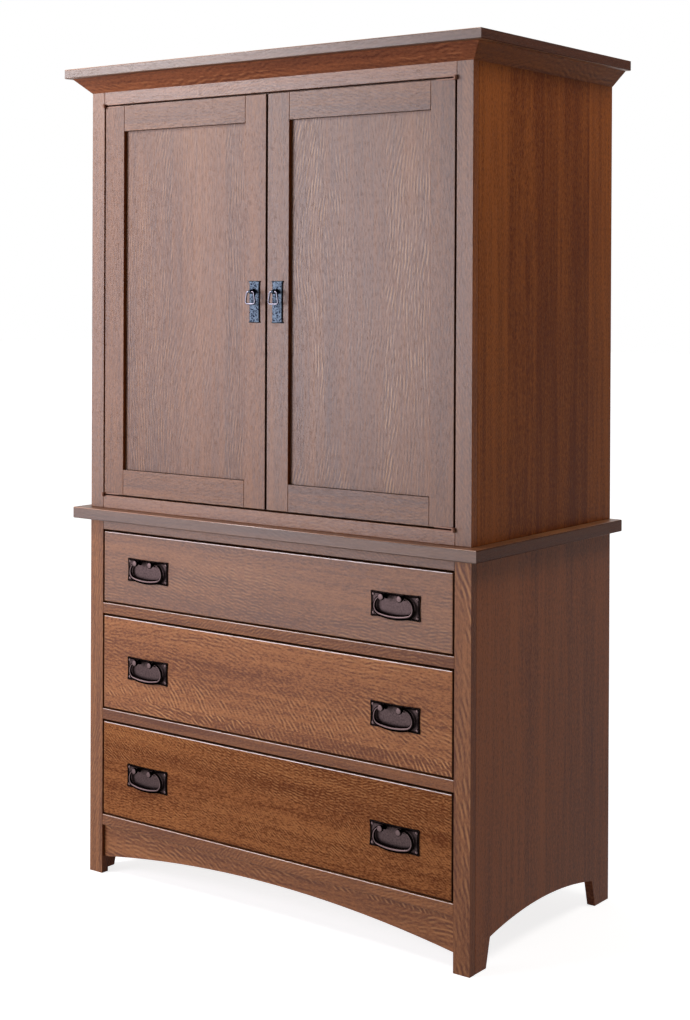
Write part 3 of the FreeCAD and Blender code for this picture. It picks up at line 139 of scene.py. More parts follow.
# Each board draws its own place in the log and its own depth of stain.
SEED_STEP = 0.37
LOG_SIZE = (9.0, 7.0, 5.0)
across_face = put(tree, "ShaderNodeSeparateXYZ", given["Place"]).outputs[1]
across = calc(tree, "ADD", across_face, calc(tree, "MULTIPLY", given["Seed"], SEED_STEP))
board = calc(tree, "FLOOR", calc(tree, "DIVIDE", across, given["Board Width"]))
drawn = put(tree, "ShaderNodeTexWhiteNoise", noise_dimensions="2D")
feed(tree, drawn.inputs["Vector"], put(tree, "ShaderNodeCombineXYZ", board, given["Seed"]).outputs[0])
chance = put(tree, "ShaderNodeSeparateColor", drawn.outputs["Color"]).outputs
cut_from = calc_places(tree, "MULTIPLY", drawn.outputs["Color"], LOG_SIZE)
wood = calc_places(tree, "ADD", given["Place"], cut_from)

# The rays show as flecks along lines that lean and wander, strong in some patches and faint in others.
FLECKS_PER_PITCH = 0.5
FLECK_ORDER = 0.90
lean_wanders = calc(tree, "MULTIPLY", given["Turn"], 4.0)
leaning = swayed(tree, given["Lean"], cloud(tree, wood, 2.6, 3.6, 2.0, detail=1.0), lean_wanders)
aside = calc(tree, "SUBTRACT", across_face, given["Middle"])
leaning = calc(tree, "MULTIPLY_ADD", aside, given["Fan"], leaning)
leaning = calc(tree, "ADD", leaning, math.pi / 2)
rays = put(tree, "ShaderNodeTexGabor", gabor_type="2D")
drawn_out = put(tree, "ShaderNodeCombineXYZ", calc(tree, "DIVIDE", 1.0, given["Dash"]), 1.0, 1.0).outputs[0]
feed(tree, rays.inputs["Vector"], calc_places(tree, "MULTIPLY", wood, drawn_out))
feed(tree, rays.inputs["Scale"], calc(tree, "DIVIDE", FLECKS_PER_PITCH, given["Pitch"]))
rays.inputs["Frequency"].default_value = 1.0 / FLECKS_PER_PITCH
rays.inputs["Anisotropy"].default_value = FLECK_ORDER
direction_in_plane = rays.inputs[4]
feed(tree, direction_in_plane, leaning)
patch = ramp(tree, cloud(tree, wood, 3.0, 9.0, 3.0, detail=1.0), 0.34, 0.60, 0.2, 1.0)
ray = calc(tree, "MULTIPLY", ramp(tree, rays.outputs["Value"], 0.50, 0.70), patch)
ray = calc(tree, "MULTIPLY", ray, calc(tree, "MULTIPLY_ADD", chance[2], 0.5, 0.5))
ray = calc(tree, "MULTIPLY", ray, given["Fleck"])
trough = calc(tree, "MULTIPLY", ramp(tree, rays.outputs["Value"], 0.30, 0.45, 1.0, 0.0), given["Fleck"])
trough = calc(tree, "MULTIPLY", trough, calc(tree, "MULTIPLY_ADD", patch, 0.6, 0.4))

# The ground between the flecks: fine streaks, wider bands, specks where the stain is held, and pores.
MIDDLE_TONE = 0.50
STREAK_WEIGHT, BAND_WEIGHT, TROUGH_WEIGHT = 1.4, 1.3, -0.5
PORE_WEIGHT, PORE_COLOUR = 0.3, (0.03, 0.01, 0.005, 1.0)
streak = cloud(tree, wood, 4.0, 110.0, 90.0, detail=3.0, rough=0.6)
band = cloud(tree, wood, 0.8, 20.0, 18.0)
speck = cloud(tree, wood, 130.0, 330.0, 200.0, rough=0.7)
pores = ramp(tree, cloud(tree, wood, 70.0, 1500.0, 1500.0, detail=1.0), 0.58, 0.72)
tone = swayed(tree, MIDDLE_TONE, streak, STREAK_WEIGHT)
tone = swayed(tree, tone, band, BAND_WEIGHT)
tone = swayed(tree, tone, speck, given["Speckle"])
tone = calc(tree, "MULTIPLY_ADD", trough, TROUGH_WEIGHT, tone)
unlike = calc(tree, "MULTIPLY", calc(tree, "SUBTRACT", chance[0], 0.5), given["Board Contrast"])
tone = calc(tree, "ADD", tone, unlike, clamp=True)
colour = blended(tree, tone, given["Dark"], given["Light"])
colour = blended(tree, ray, colour, given["Ray"])
colour = blended(tree, calc(tree, "MULTIPLY", pores, PORE_WEIGHT), colour, PORE_COLOUR)
feed(tree, wood_out.inputs["Color"], colour)

# The lacquer is glossier on the rays and a little duller on the streaks. Rays stand proud, pores are sunk.
satin = calc(tree, "MULTIPLY_ADD", ray, -0.05, calc(tree, "MULTIPLY_ADD", streak, 0.08, 0.38))
feed(tree, wood_out.inputs["Roughness"], satin)
feed(tree, wood_out.inputs["Height"], calc(tree, "SUBTRACT", calc(tree, "MULTIPLY", ray, 0.4), pores))

# The stain's colour in the dark ground, in the light ground and on the rays.
RED_BROWN = ((0.100, 0.027, 0.0080), (0.275, 0.106, 0.036), (0.400, 0.190, 0.072))
GRAIN_RELIEF, RELIEF_STRENGTH = 0.0004, 0.35
LACQUER_IOR = 1.5


def oak(name, grain, seed, *, fleck, board_width=0.3, contrast=0.3, pitch=0.011, dash=1.5, lean=0.0,
        turn=0.5, fan=0.0, middle=0.0, speckle=1.6, tone=1.0, sheen=0.65, tint=(1.0, 1.0, 1.0),
        stains=RED_BROWN):
    """Stained oak. grain names the axes along the grain, across the face and through the board."""
    material = bpy.data.materials.new(name)
    material.use_nodes = True
    tree = material.node_tree
    tree.nodes.clear()
    parted = put(tree, "ShaderNodeSeparateXYZ", put(tree, "ShaderNodeTexCoord").outputs["Object"])
    turned = put(tree, "ShaderNodeCombineXYZ", *[parted.outputs["xyz".index(axis)] for axis in grain])
    dark, light, ray = [tuple(part * tone * hue for part, hue in zip(stain, tint)) + (1.0,)
                        for stain in stains]
    wood = put(tree, "ShaderNodeGroup", node_tree=quarter_sawn)
    choices = {
        "Place": turned.outputs[0], "Seed": seed, "Board Width": board_width, "Board Contrast": contrast,
        "Fleck": fleck, "Pitch": pitch, "Dash": dash, "Lean": lean, "Turn": turn, "Fan": fan,
        "Middle": middle, "Speckle": speckle, "Dark": dark, "Light": light, "Ray": ray,
    }
    for label, choice in choices.items():
        feed(tree, wood.inputs[label], choice)
    bump = put(tree, "ShaderNodeBump")
    bump.inputs["Strength"].default_value = RELIEF_STRENGTH
    bump.inputs["Distance"].default_value = GRAIN_RELIEF
    feed(tree, bump.inputs["Height"], wood.outputs["Height"])
    surface = put(tree, "ShaderNodeBsdfPrincipled")
    feed(tree, surface.inputs["Base Color"], wood.outputs["Color"])
    feed(tree, surface.inputs["Roughness"], wood.outputs["Roughness"])
    feed(tree, surface.inputs["Normal"], bump.outputs[0])
    surface.inputs["IOR"].default_value = LACQUER_IOR
    surface.inputs["Specular IOR Level"].default_value = sheen
    feed(tree, put(tree, "ShaderNodeOutputMaterial").inputs["Surface"], surface.outputs[0])
    return material


body_of = {node: body for body, members in frame["record"]["behaviour"]["bodies"].items() for node in members}
slot_of = {entry["node"]: entry["material_slot"] for entry in frame["record"]["subparts"]}


def fixed(piece, *nodes):
    """Sets a made piece in the place of the frame's own, which it hides, and on their body."""
    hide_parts(*nodes)
    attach(piece, body_of[nodes[0]])
    return piece


def piece_from(name, form, material):
    """A new object that holds a bmesh."""
    mesh = bpy.data.meshes.new(name)
    form.to_mesh(mesh)
    form.free()
    mesh.materials.append(material)
    piece = bpy.data.objects.new(name, mesh)
    bpy.context.scene.collection.objects.link(piece)
    return piece


SAME_POINT = 1e-6
FLAT = math.radians(0.5)
SHARP = math.radians(30)
SHORTEST_ARRIS = 0.006
ARRIS, ARRIS_STEPS = 0.0012, 3


def merged(node):
    """The frame's piece as a bmesh, its loose triangles joined."""
    form = bmesh.new()
    form.from_mesh(frame["nodes"][node].data)
    bmesh.ops.remove_doubles(form, verts=form.verts, dist=SAME_POINT)
    return form


def eased(node, face_oak, arris=ARRIS, areas=()):
    """The frame's piece with its arrises rounded over.

    areas pairs tests that pick some of its facets with their own finishes.
    """
    form = merged(node)
    bmesh.ops.dissolve_limit(form, angle_limit=FLAT, verts=form.verts, edges=form.edges)
    sharp = [edge for edge in form.edges if len(edge.link_faces) == 2 and edge.calc_face_angle(0.0) > SHARP
             and edge.calc_length() > SHORTEST_ARRIS]
    if arris:
        bmesh.ops.bevel(form, geom=sharp, offset=arris, offset_type="OFFSET", segments=ARRIS_STEPS,
                        profile=0.5, affect="EDGES", clamp_overlap=True)
    bmesh.ops.triangulate(form, faces=form.faces)
    piece = piece_from(node + "_eased", form, face_oak)
    for number, (belongs, area_oak) in enumerate(areas, start=1):
        piece.data.materials.append(area_oak)
        for facet in piece.data.polygons:
            if belongs(facet):
                facet.material_index = number
    return fixed(piece, node)


UPPER_TINT, BASE_TINT = (1.0, 0.74, 0.47), (0.97, 0.74, 0.69)
for node, seed, board_width, sheen, tint in (
        ("upper_side_left", 3.1, 0.105, 0.05, UPPER_TINT), ("upper_side_right", 7.7, 0.105, 0.05, UPPER_TINT),
        ("base_side_left", 11.3, 0.12, 0.1, BASE_TINT), ("base_side_right", 15.9, 0.12, 0.1, BASE_TINT)):
    side_oak = oak(node + " oak", "zyx", seed, fleck=0.3, board_width=board_width, contrast=0.6, pitch=0.006,
                   dash=0.8, lean=0.1, turn=0.6, speckle=2.4, sheen=sheen, tint=tint)
    eased(node, side_oak)

# ---------------------------------------------------------------------------------------------
# Face frames. Upright stiles with rails tenoned into them; the lower stiles are also the front
# feet, and an arched apron closes the base between them.
# ---------------------------------------------------------------------------------------------
FACING, TILTED = 0.6, 0.2


def looks_sideways(facet):
    """Whether a facet looks left or right."""
    return abs(facet.normal.x) > FACING


def looks_up_or_down(facet):
    """Whether a facet looks up or down."""
    return abs(facet.normal.z) > FACING


def highlit(facet):
    """Whether a facet is part of an arris that looks up and forwards, which gets a painted highlight."""
    return facet.normal.z > TILTED and facet.normal.y < -TILTED


# A paler, glossier finish for the arrises that look up and forwards: a painted highlight.
highlit_oak = oak("rubbed arris oak", "xzy", 26.8, fleck=0.1, speckle=0.8, tone=1.3, sheen=2.6)
upper_edge_oak = oak("upper stile edge oak", "zyx", 22.6, fleck=0.3, pitch=0.006, dash=0.8, sheen=0.1,
                     tint=UPPER_TINT)
lower_edge_oak = oak("lower stile edge oak", "zyx", 23.9, fleck=0.3, pitch=0.006, dash=0.8, tone=0.8,
                     sheen=0.1, tint=BASE_TINT)

stile_oak = oak("upper stile oak", "zxy", 21.4, fleck=0.4, pitch=0.0075, dash=1.2, lean=-0.3, turn=0.4,
                tone=0.79, sheen=0.7)
eased("upper_stiles", stile_oak, ARRIS, ((looks_sideways, upper_edge_oak),))
bold_oak = oak("lower stile oak", "zxy", 24.8, fleck=1.2, pitch=0.0105, lean=-0.4, turn=0.3, tone=1.12,
               sheen=0.32)
plain_oak = oak("left lower stile oak", "zxy", 24.1, fleck=0.3, pitch=0.007, dash=1.2, tone=1.08, sheen=0.35)
eased("base_stiles", bold_oak, ARRIS, (
    (lambda facet: facet.center.x < 0.0, plain_oak), (looks_sideways, lower_edge_oak)))

RAIL_ARRIS = 0.0025
top_rail_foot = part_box("drawer_1_front")[1].z
rail_oak = oak("upper rail oak", "xzy", 27.5, fleck=0.4, pitch=0.007, dash=0.9, lean=0.1, tone=0.96,
               sheen=0.75)
eased("upper_rails", rail_oak)
rail_oak = oak("lower rail oak", "xzy", 31.2, fleck=0.5, pitch=0.007, dash=0.9, lean=0.3, tone=1.12,
               sheen=0.3)
top_rail_oak = oak("top rail oak", "xzy", 30.5, fleck=0.3, pitch=0.007, dash=0.9, tone=0.82)
eased("base_rails", rail_oak, RAIL_ARRIS, (
    (lambda facet: facet.center.z > top_rail_foot, top_rail_oak), (highlit, highlit_oak)))
apron_oak = oak("apron oak", "xzy", 34.6, fleck=0.8, pitch=0.009, dash=1.1, lean=-0.4, turn=0.8, tone=1.2,
                sheen=0.3)
eased("apron", apron_oak)

# ---------------------------------------------------------------------------------------------
# Waist board, top board and crown. Boards run the width of the case, their front and ends
# already rounded over in the solid; the crown is a bevelled strip, mitred at the corners.
# ---------------------------------------------------------------------------------------------


def looks_forwards_or_back(facet):
    """Whether a facet looks forwards or back."""
    return abs(facet.normal.y) > FACING


CROWN_ARRIS = 0.0006
board_oak = oak("top board oak", "xyz", 41.3, fleck=0.7, board_width=0.14, contrast=0.5)
end_oak = oak("board end oak", "yzx", 42.9, fleck=0.2, pitch=0.006, dash=0.8, tone=0.34, sheen=0.1,
              tint=(0.95, 0.72, 0.85))
# The board arrises that look up and forwards get a much paler, glossier finish: a painted highlight.
board_highlight_oak = oak("board arris highlight oak", "xzy", 42.3, fleck=0.1, speckle=0.3, tone=2.2, sheen=4.0)
# The front and back edges of the boards are tinted lilac: a painted reflection of the window in the lacquer.
for node, tone, sheen in (("waist_board", 0.62, 0.7), ("top_board", 0.60, 0.85)):
    edge_oak = oak(node + " edge oak", "xzy", 43.8, fleck=0.3, pitch=0.007, dash=1.2, speckle=0.8,
                   tone=tone, sheen=sheen, tint=(0.9, 1.0, 1.3))
    eased(node, board_oak, 0.0, (
        (looks_sideways, end_oak), (looks_forwards_or_back, edge_oak), (highlit, board_highlight_oak)))
crown_oak = oak("crown front oak", "xzy", 44.7, fleck=0.7, pitch=0.008, dash=1.2, tone=0.95, sheen=0.14,
                tint=(1.05, 0.84, 0.88))
eased("crown_front", crown_oak, CROWN_ARRIS)
return_oak = oak("crown return oak", "yzx", 47.1, fleck=0.7, pitch=0.008, dash=1.2, sheen=0.04,
                 tint=UPPER_TINT)
eased("crown_returns", return_oak, CROWN_ARRIS)

# ---------------------------------------------------------------------------------------------
# Inside the cases. Floors, shelves and the writing tray are oak, the backs and the dust floor
# plywood, the strips behind the slides maple.
# ---------------------------------------------------------------------------------------------


def finish_node(node, material):
    """Gives a piece of the frame its finish."""
    mesh = frame["nodes"][node].data
    mesh.materials.clear()
    mesh.materials.append(material)


shelf_oak = oak("shelf oak", "xyz", 51.9, fleck=0.5, board_width=0.11, contrast=0.4, tone=0.9)
for node in ("upper_floor", "fixed_shelf", "adjustable_shelf", "writing_tray"):
    finish_node(node, shelf_oak)
ply = oak("plywood", "zxy", 57.7, fleck=0.15, board_width=0.6, contrast=0.2, pitch=0.03, dash=3.0, turn=0.2,
          fan=0.75)
for node in ("upper_back", "base_back", "base_floor"):
    finish_node(node, ply)
CLEAR_MAPLE = ((0.46, 0.32, 0.19), (0.66, 0.50, 0.33), (0.72, 0.57, 0.39))
maple = oak("maple blocking", "yzx", 61.4, fleck=0.1, contrast=0.2, sheen=0.5, stains=CLEAR_MAPLE)
finish_node("slide_blocking", maple)

# ---------------------------------------------------------------------------------------------
# Doors. Stiles and rails round a flat panel of glued-up boards, which floats in their grooves.
# The edges that face the gap round a door are finished dark: painted shade for the gap.
# ---------------------------------------------------------------------------------------------
EDGE_DEPTH = 0.004


def shut_in(facet):
    """Whether a facet of a door or a drawer front looks into the gap round it."""
    return looks_sideways(facet) or looks_up_or_down(facet)


for side, seed, tone, sheen, fleck in (("left", 63.1, 0.80, 0.55, 0.5), ("right", 71.7, 0.74, 0.63, 1.2)):
    door = "door_" + side
    stile_oak = oak(door + " stile oak", "zxy", seed, fleck=0.25, pitch=0.0075, dash=1.2, lean=0.1, turn=0.4,
                    speckle=1.8, tone=tone, sheen=sheen)
    rail_oak = oak(door + " rail oak", "xzy", seed + 1.3, fleck=0.35, pitch=0.007, dash=0.9, turn=0.7,
                   speckle=2.2, tone=tone, sheen=sheen)
    panel_oak = oak(door + " panel oak", "zxy", seed + 2.9, fleck=fleck, board_width=0.15, contrast=0.5,
                    pitch=0.0072, dash=2.2, lean=0.14, turn=0.6, speckle=1.2, tone=tone, sheen=sheen)
    # A dark finish for the edges in the gap round the door: painted shade.
    gap_shade_oak = oak(door + " edge oak", "zyx", seed + 5.1, fleck=0.2, tone=0.24, sheen=0.1)
    low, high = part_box(door + "_stiles")
    inside = (low.x + EDGE_DEPTH, high.x - EDGE_DEPTH)
    eased(door + "_stiles", stile_oak, ARRIS, (
        (looks_sideways, upper_edge_oak),
        (lambda facet: shut_in(facet) and not inside[0] < facet.center.x < inside[1], gap_shade_oak),
        (looks_up_or_down, gap_shade_oak)))
    eased(door + "_rails", rail_oak, ARRIS, ((looks_up_or_down, gap_shade_oak),))
    finish_node(door + "_panel", panel_oak)

# ---------------------------------------------------------------------------------------------
# Drawers. Wide oak fronts, each with a bold figure of its own, on dovetailed maple boxes. The
# flecks of the second front fan out from its middle.
# ---------------------------------------------------------------------------------------------
FRONT_ARRIS = 0.003
FRONT_FIGURES = (
    dict(seed=85.7, fleck=0.6, pitch=0.0070, dash=1.1, lean=-0.20, turn=0.50, speckle=2.2, tone=0.96,
         sheen=0.58),
    dict(seed=88.1, fleck=0.9, pitch=0.0080, dash=1.2, lean=-0.45, turn=0.55, fan=4.7, speckle=2.8, tone=1.36,
         sheen=0.26),
    dict(seed=93.9, fleck=0.6, pitch=0.0060, dash=0.8, lean=-0.45, turn=0.60, speckle=3.6, tone=1.25,
         sheen=0.05),
)
box_maple = oak("box maple", "yzx", 83.3, fleck=0.1, board_width=0.4, contrast=0.2, sheen=0.5,
                stains=CLEAR_MAPLE)
for number, figure in enumerate(FRONT_FIGURES, start=1):
    drawer = f"drawer_{number}"
    low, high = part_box(drawer + "_front")
    front_oak = oak(drawer + " front oak", "xzy", board_width=0.5, contrast=0.2, middle=(low.z + high.z) / 2,
                    **figure)
    # The edges of a front that look into the gap round it get a dark finish: painted shade for the gap.
    end_oak = oak(drawer + " end oak", "yzx", figure["seed"] + 2.2, fleck=0.1, tone=0.26, sheen=0.1)
    eased(drawer + "_front", front_oak, FRONT_ARRIS, ((highlit, highlit_oak), (shut_in, end_oak)))
    finish_node(drawer + "_box", box_maple)

# ---------------------------------------------------------------------------------------------
# Bail pulls. Cast bronze, almost black with patina, its plates' outer edges dark with painted shade, and
# pale where worn and painted with a highlight: a plate with hollow edges and a raised rim, four nail
# heads, two turned posts, and a swelling bail that swings from them.
# ---------------------------------------------------------------------------------------------
BLACK, WHITE = (0.0, 0.0, 0.0, 1.0), (1.0, 1.0, 1.0, 1.0)
DAPPLE = 300.0
DAPPLE_WEIGHT, DAPPLE_GLOSS = 0.5, 0.15


def fitting_finish(name, colour, patina_and_shade_colour, roughness, metallic=1.0, edge_tint=WHITE):
    """A fitting darkened by a point attribute that holds from 0, bare or with a painted highlight, to 1:
    patina in its hollows, and painted shade on some edges and sides.

    edge_tint is the colour of the gloss where the surface is seen at a low angle.
    """
    material = bpy.data.materials.new(name)
    material.use_nodes = True
    tree = material.node_tree
    surface = tree.nodes["Principled BSDF"]
    where = put(tree, "ShaderNodeTexCoord").outputs["Object"]
    worn = cloud(tree, where, DAPPLE, DAPPLE, DAPPLE, detail=3.0)
    patina_and_shade = put(tree, "ShaderNodeAttribute", attribute_name="patina_and_shade").outputs["Fac"]
    dappled = calc(tree, "MULTIPLY_ADD", worn, DAPPLE_WEIGHT, -DAPPLE_WEIGHT / 2)
    cover = ramp(tree, calc(tree, "ADD", patina_and_shade, dappled), 0.1, 0.9)
    bare = blended(tree, worn, tuple(part * 0.75 for part in colour) + (1.0,), colour + (1.0,))
    feed(tree, surface.inputs["Base Color"], blended(tree, cover, bare, patina_and_shade_colour + (1.0,)))
    feed(tree, surface.inputs["Roughness"], calc(tree, "MULTIPLY_ADD", worn, DAPPLE_GLOSS, roughness - 0.07))
    surface.inputs["Metallic"].default_value = metallic
    surface.inputs["Specular Tint"].default_value = edge_tint
    return material


bronze = fitting_finish("dark bronze", (0.150, 0.105, 0.105), (0.0030, 0.0020, 0.0018), 0.42, edge_tint=BLACK)


def set_patina_and_shade(piece, depths):
    """Writes how dark each point of a piece is."""
    layer = piece.data.attributes.new("patina_and_shade", "FLOAT", "POINT")
    layer.data.foreach_set("value", depths)


def smooth(piece):
    """Shades a piece smooth, and rounds it by one subdivision."""
    piece.data.shade_smooth()
    finer = piece.modifiers.new("finer", "SUBSURF")
    finer.levels = finer.render_levels = 1
    return piece


joint_place = {joint["name"]: joint.get("pos_m") for joint in frame["record"]["behaviour"]["joints"]}
FRONT_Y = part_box("drawer_2_front")[0].y
PLATE_HALF_WIDTH, PLATE_HALF_HEIGHT = 0.0605, 0.026
PLATE_HOLLOW = 0.0015
SIDE_STEPS = 16
# Each ring of the plate: how far in from the edge, how far in front of the drawer, how dark. The dark outer
# edge is painted shade; the dark groove inside the rim is patina.
PLATE_RINGS = (
    (0.0030, 0.0000, 1.00), (0.0000, 0.0000, 1.00), (0.0000, 0.0012, 1.00), (0.0007, 0.0021, 0.90),
    (0.0018, 0.0024, 0.75), (0.0029, 0.0021, 1.00), (0.0036, 0.0015, 1.00), (0.0048, 0.0015, 0.65),
    (0.0090, 0.0017, 0.52), (0.0180, 0.0018, 0.50),
)


def hollow_outline(half_width, half_height):
    """A rectangle whose edges curve in, as points anticlockwise seen from the front."""
    points = []
    for side in range(4):
        for step in range(SIDE_STEPS):
            across = 2 * step / SIDE_STEPS - 1
            sag = PLATE_HOLLOW * (1 - across * across)
            wide, high = half_width - sag, half_height - sag
            points.append(((across * half_width, -high), (wide, across * half_height),
                           (-across * half_width, high), (-wide, -across * half_height))[side])
    return points


def ringed(form, rings):
    """Skins a list of rings of points, each as long as the others, and closes both ends."""
    skin = [[form.verts.new(point) for point in ring] for ring in rings]
    for first, second in zip(skin, skin[1:]):
        for index in range(len(first)):
            after = (index + 1) % len(first)
            form.faces.new((first[index], first[after], second[after], second[index]))
    form.faces.new(skin[0][::-1])
    form.faces.new(skin[-1])


def bail_plate(form, depths, centre_x, centre_z):
    """Adds one plate to a form, and how dark each of its points is."""
    rings = []
    for inset, rise, depth in PLATE_RINGS:
        outline = hollow_outline(PLATE_HALF_WIDTH - inset, PLATE_HALF_HEIGHT - inset)
        rings.append([(centre_x + u, FRONT_Y - rise, centre_z + v) for u, v in outline])
        depths += [depth] * len(outline)
    ringed(form, rings)


PLATE_FACE = 0.0018
POST_RISE, POST_HALF_SPACING = 0.018, 0.022
POST_SIDES = 20
# The turned post, from its foot to its tip: how far in front of the plate's face, its radius, how dark. Its
# pale tip is worn bronze with a painted highlight.
POST_PROFILE = (
    (-0.0004, 0.0062, 1.0), (0.0006, 0.0060, 0.6), (0.0012, 0.0050, 1.0), (0.0022, 0.0040, 1.0),
    (0.0070, 0.0038, 1.0), (0.0100, 0.0036, 1.0), (0.0112, 0.0048, 1.0), (0.0124, 0.0060, 1.0),
    (0.0138, 0.0069, 1.0), (0.0172, 0.0071, 1.0), (0.0186, 0.0069, 1.0), (0.0193, 0.0063, 0.7),
    (0.0196, 0.0052, 0.3), (0.0197, 0.0028, 0.2), (0.0198, 0.0008, 0.2),
)


def turned_post(form, depths, profile, centre_x, start_y, centre_z):
    """Adds one turned post to a form, and how dark each of its points is."""
    turns = [2 * math.pi * side / POST_SIDES for side in range(POST_SIDES)]
    rings = []
    for reach, radius, depth in profile:
        rings.append([(centre_x + radius * math.cos(turn), start_y - reach,
                       centre_z + radius * math.sin(turn)) for turn in turns])
        depths += [depth] * POST_SIDES
    ringed(form, rings)


# The bail about its own axis: a shoulder, a side and a belly arc that flow into each other.
BAIL_HALF = 0.0465
SHOULDER_RADIUS = 0.0205
BELLY_RADIUS = 0.150
BAIL_DROP = 0.0398
ARC_STEPS = 10


def arc(centre_x, centre_z, radius, start, end):
    """Points on an arc in the plane of the drawer front, its angles in radians."""
    turns = [start + (end - start) * step / ARC_STEPS for step in range(1, ARC_STEPS + 1)]
    return [(centre_x + radius * math.cos(turn), centre_z + radius * math.sin(turn)) for turn in turns]


def bail_line():
    """The bail's middle line, from its left post to its right one."""
    turn_z = -SHOULDER_RADIUS
    drop = turn_z + BAIL_DROP
    side_radius = (2 * BELLY_RADIUS * drop - BAIL_HALF ** 2 - drop ** 2) / (2 * (BELLY_RADIUS - BAIL_HALF))
    side_x = BAIL_HALF - side_radius
    belly_z = BELLY_RADIUS - BAIL_DROP
    lean = math.atan2(turn_z - belly_z, side_x)
    right = [(POST_HALF_SPACING, 0.0), (BAIL_HALF - SHOULDER_RADIUS, 0.0)]
    right += arc(BAIL_HALF - SHOULDER_RADIUS, turn_z, SHOULDER_RADIUS, math.pi / 2, 0.0)
    right += arc(side_x, turn_z, side_radius, 0.0, lean)
    right += arc(0.0, belly_z, BELLY_RADIUS, lean, -math.pi / 2)
    return [(-x, z) for x, z in right] + [(x, z) for x, z in right[-2::-1]]


# The bail's section: out from the middle line, back from it, and how dark. A bead stands on its front, pale
# as worn bronze with a painted highlight.
BAIL_SECTION = (
    (0.90, 0.60, 1.0), (1.00, 0.15, 1.0), (0.85, -0.25, 1.0), (0.45, -0.52, 1.0), (0.16, -0.62, 1.0),
    (0.10, -0.94, 0.2), (-0.18, -1.00, 0.0), (-0.46, -0.94, 0.2), (-0.52, -0.62, 1.0), (-0.82, -0.45, 1.0),
    (-1.00, -0.05, 1.0), (-0.90, 0.55, 1.0), (-0.40, 0.85, 1.0), (0.40, 0.85, 1.0),
)
END_HALF_WIDTH, BELLY_HALF_WIDTH = 0.0024, 0.0056
END_HALF_DEPTH, BELLY_HALF_DEPTH = 0.00234, 0.0036
SWELL_CURVE = 1.1


def swelling_bail(node, place):
    """The bail that hangs from a joint's place."""
    line = bail_line()
    form = bmesh.new()
    rings, depths = [], []
    for index, (x, z) in enumerate(line):
        before, after = line[max(index - 1, 0)], line[min(index + 1, len(line) - 1)]
        heading = Vector((after[0] - before[0], 0.0, after[1] - before[1])).normalized()
        outward = Vector((heading.z, 0.0, -heading.x))
        swell = math.sin(math.pi * index / (len(line) - 1)) ** SWELL_CURVE
        half_width = END_HALF_WIDTH + (BELLY_HALF_WIDTH - END_HALF_WIDTH) * swell
        half_depth = END_HALF_DEPTH + (BELLY_HALF_DEPTH - END_HALF_DEPTH) * swell
        middle = Vector((place[0] + x, place[1], place[2] + z))
        rings.append([middle + outward * (out * half_width) + Vector((0.0, back * half_depth, 0.0))
                      for out, back, depth in BAIL_SECTION])
        depths += [depth for out, back, depth in BAIL_SECTION]
    ringed(form, rings)
    bmesh.ops.recalc_face_normals(form, faces=form.faces)
    piece = piece_from(node + "_cast", form, bronze)
    set_patina_and_shade(piece, depths)
    return fixed(smooth(piece), node)


def nail_heads_tree():
    """Geometry nodes that set a nail head on every point of a mesh, and the sockets of its inputs."""
    tree = bpy.data.node_groups.new("nail heads", "GeometryNodeTree")
    tree.interface.new_socket("Geometry", in_out="INPUT", socket_type="NodeSocketGeometry")
    sockets = {}
    for label, kind in (("Radius", NUMBER), ("Rise", NUMBER), ("Finish", "NodeSocketMaterial")):
        sockets[label] = tree.interface.new_socket(label, in_out="INPUT", socket_type=kind).identifier
    tree.interface.new_socket("Geometry", in_out="OUTPUT", socket_type="NodeSocketGeometry")
    given = tree.nodes.new("NodeGroupInput").outputs
    head = tree.nodes.new("GeometryNodeMeshUVSphere")
    head.inputs["Segments"].default_value = 12
    head.inputs["Rings"].default_value = 8
    feed(tree, head.inputs["Radius"], given["Radius"])
    flatness = calc(tree, "DIVIDE", given["Rise"], given["Radius"])
    squash = put(tree, "ShaderNodeCombineXYZ", 1.0, flatness, 1.0).outputs[0]
    spread = tree.nodes.new("GeometryNodeInstanceOnPoints")
    feed(tree, spread.inputs["Points"], given["Geometry"])
    feed(tree, spread.inputs["Instance"], head.outputs["Mesh"])
    feed(tree, spread.inputs["Scale"], squash)
    real = put(tree, "GeometryNodeRealizeInstances", spread.outputs[0]).outputs[0]
    painted = tree.nodes.new("GeometryNodeSetMaterial")
    feed(tree, painted.inputs["Geometry"], real)
    feed(tree, painted.inputs["Material"], given["Finish"])
    feed(tree, tree.nodes.new("NodeGroupOutput").inputs[0], painted.outputs[0])
    return tree, sockets


nail_tree, nail_sockets = nail_heads_tree()
NAIL_RADIUS, NAIL_RISE, NAIL_SUNK = 0.0034, 0.0022, 0.0003
NAIL_INSET = 0.0075


def nail_heads(name, places, body, finish):
    """Nail heads at a list of places, as one plain mesh."""
    mesh = bpy.data.meshes.new(name + "_places")
    mesh.from_pydata(places, [], [])
    seeds = bpy.data.objects.new(name + "_places", mesh)
    bpy.context.scene.collection.objects.link(seeds)
    made = seeds.modifiers.new("nails", "NODES")
    made.node_group = nail_tree
    for label, chosen in (("Radius", NAIL_RADIUS), ("Rise", NAIL_RISE), ("Finish", finish)):
        made[nail_sockets[label]] = chosen
    whole = bpy.data.meshes.new_from_object(seeds.evaluated_get(bpy.context.evaluated_depsgraph_get()))
    bpy.data.objects.remove(seeds)
    whole.name = name
    whole.shade_smooth()
    piece = bpy.data.objects.new(name, whole)
    bpy.context.scene.collection.objects.link(piece)
    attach(piece, body)
    return piece


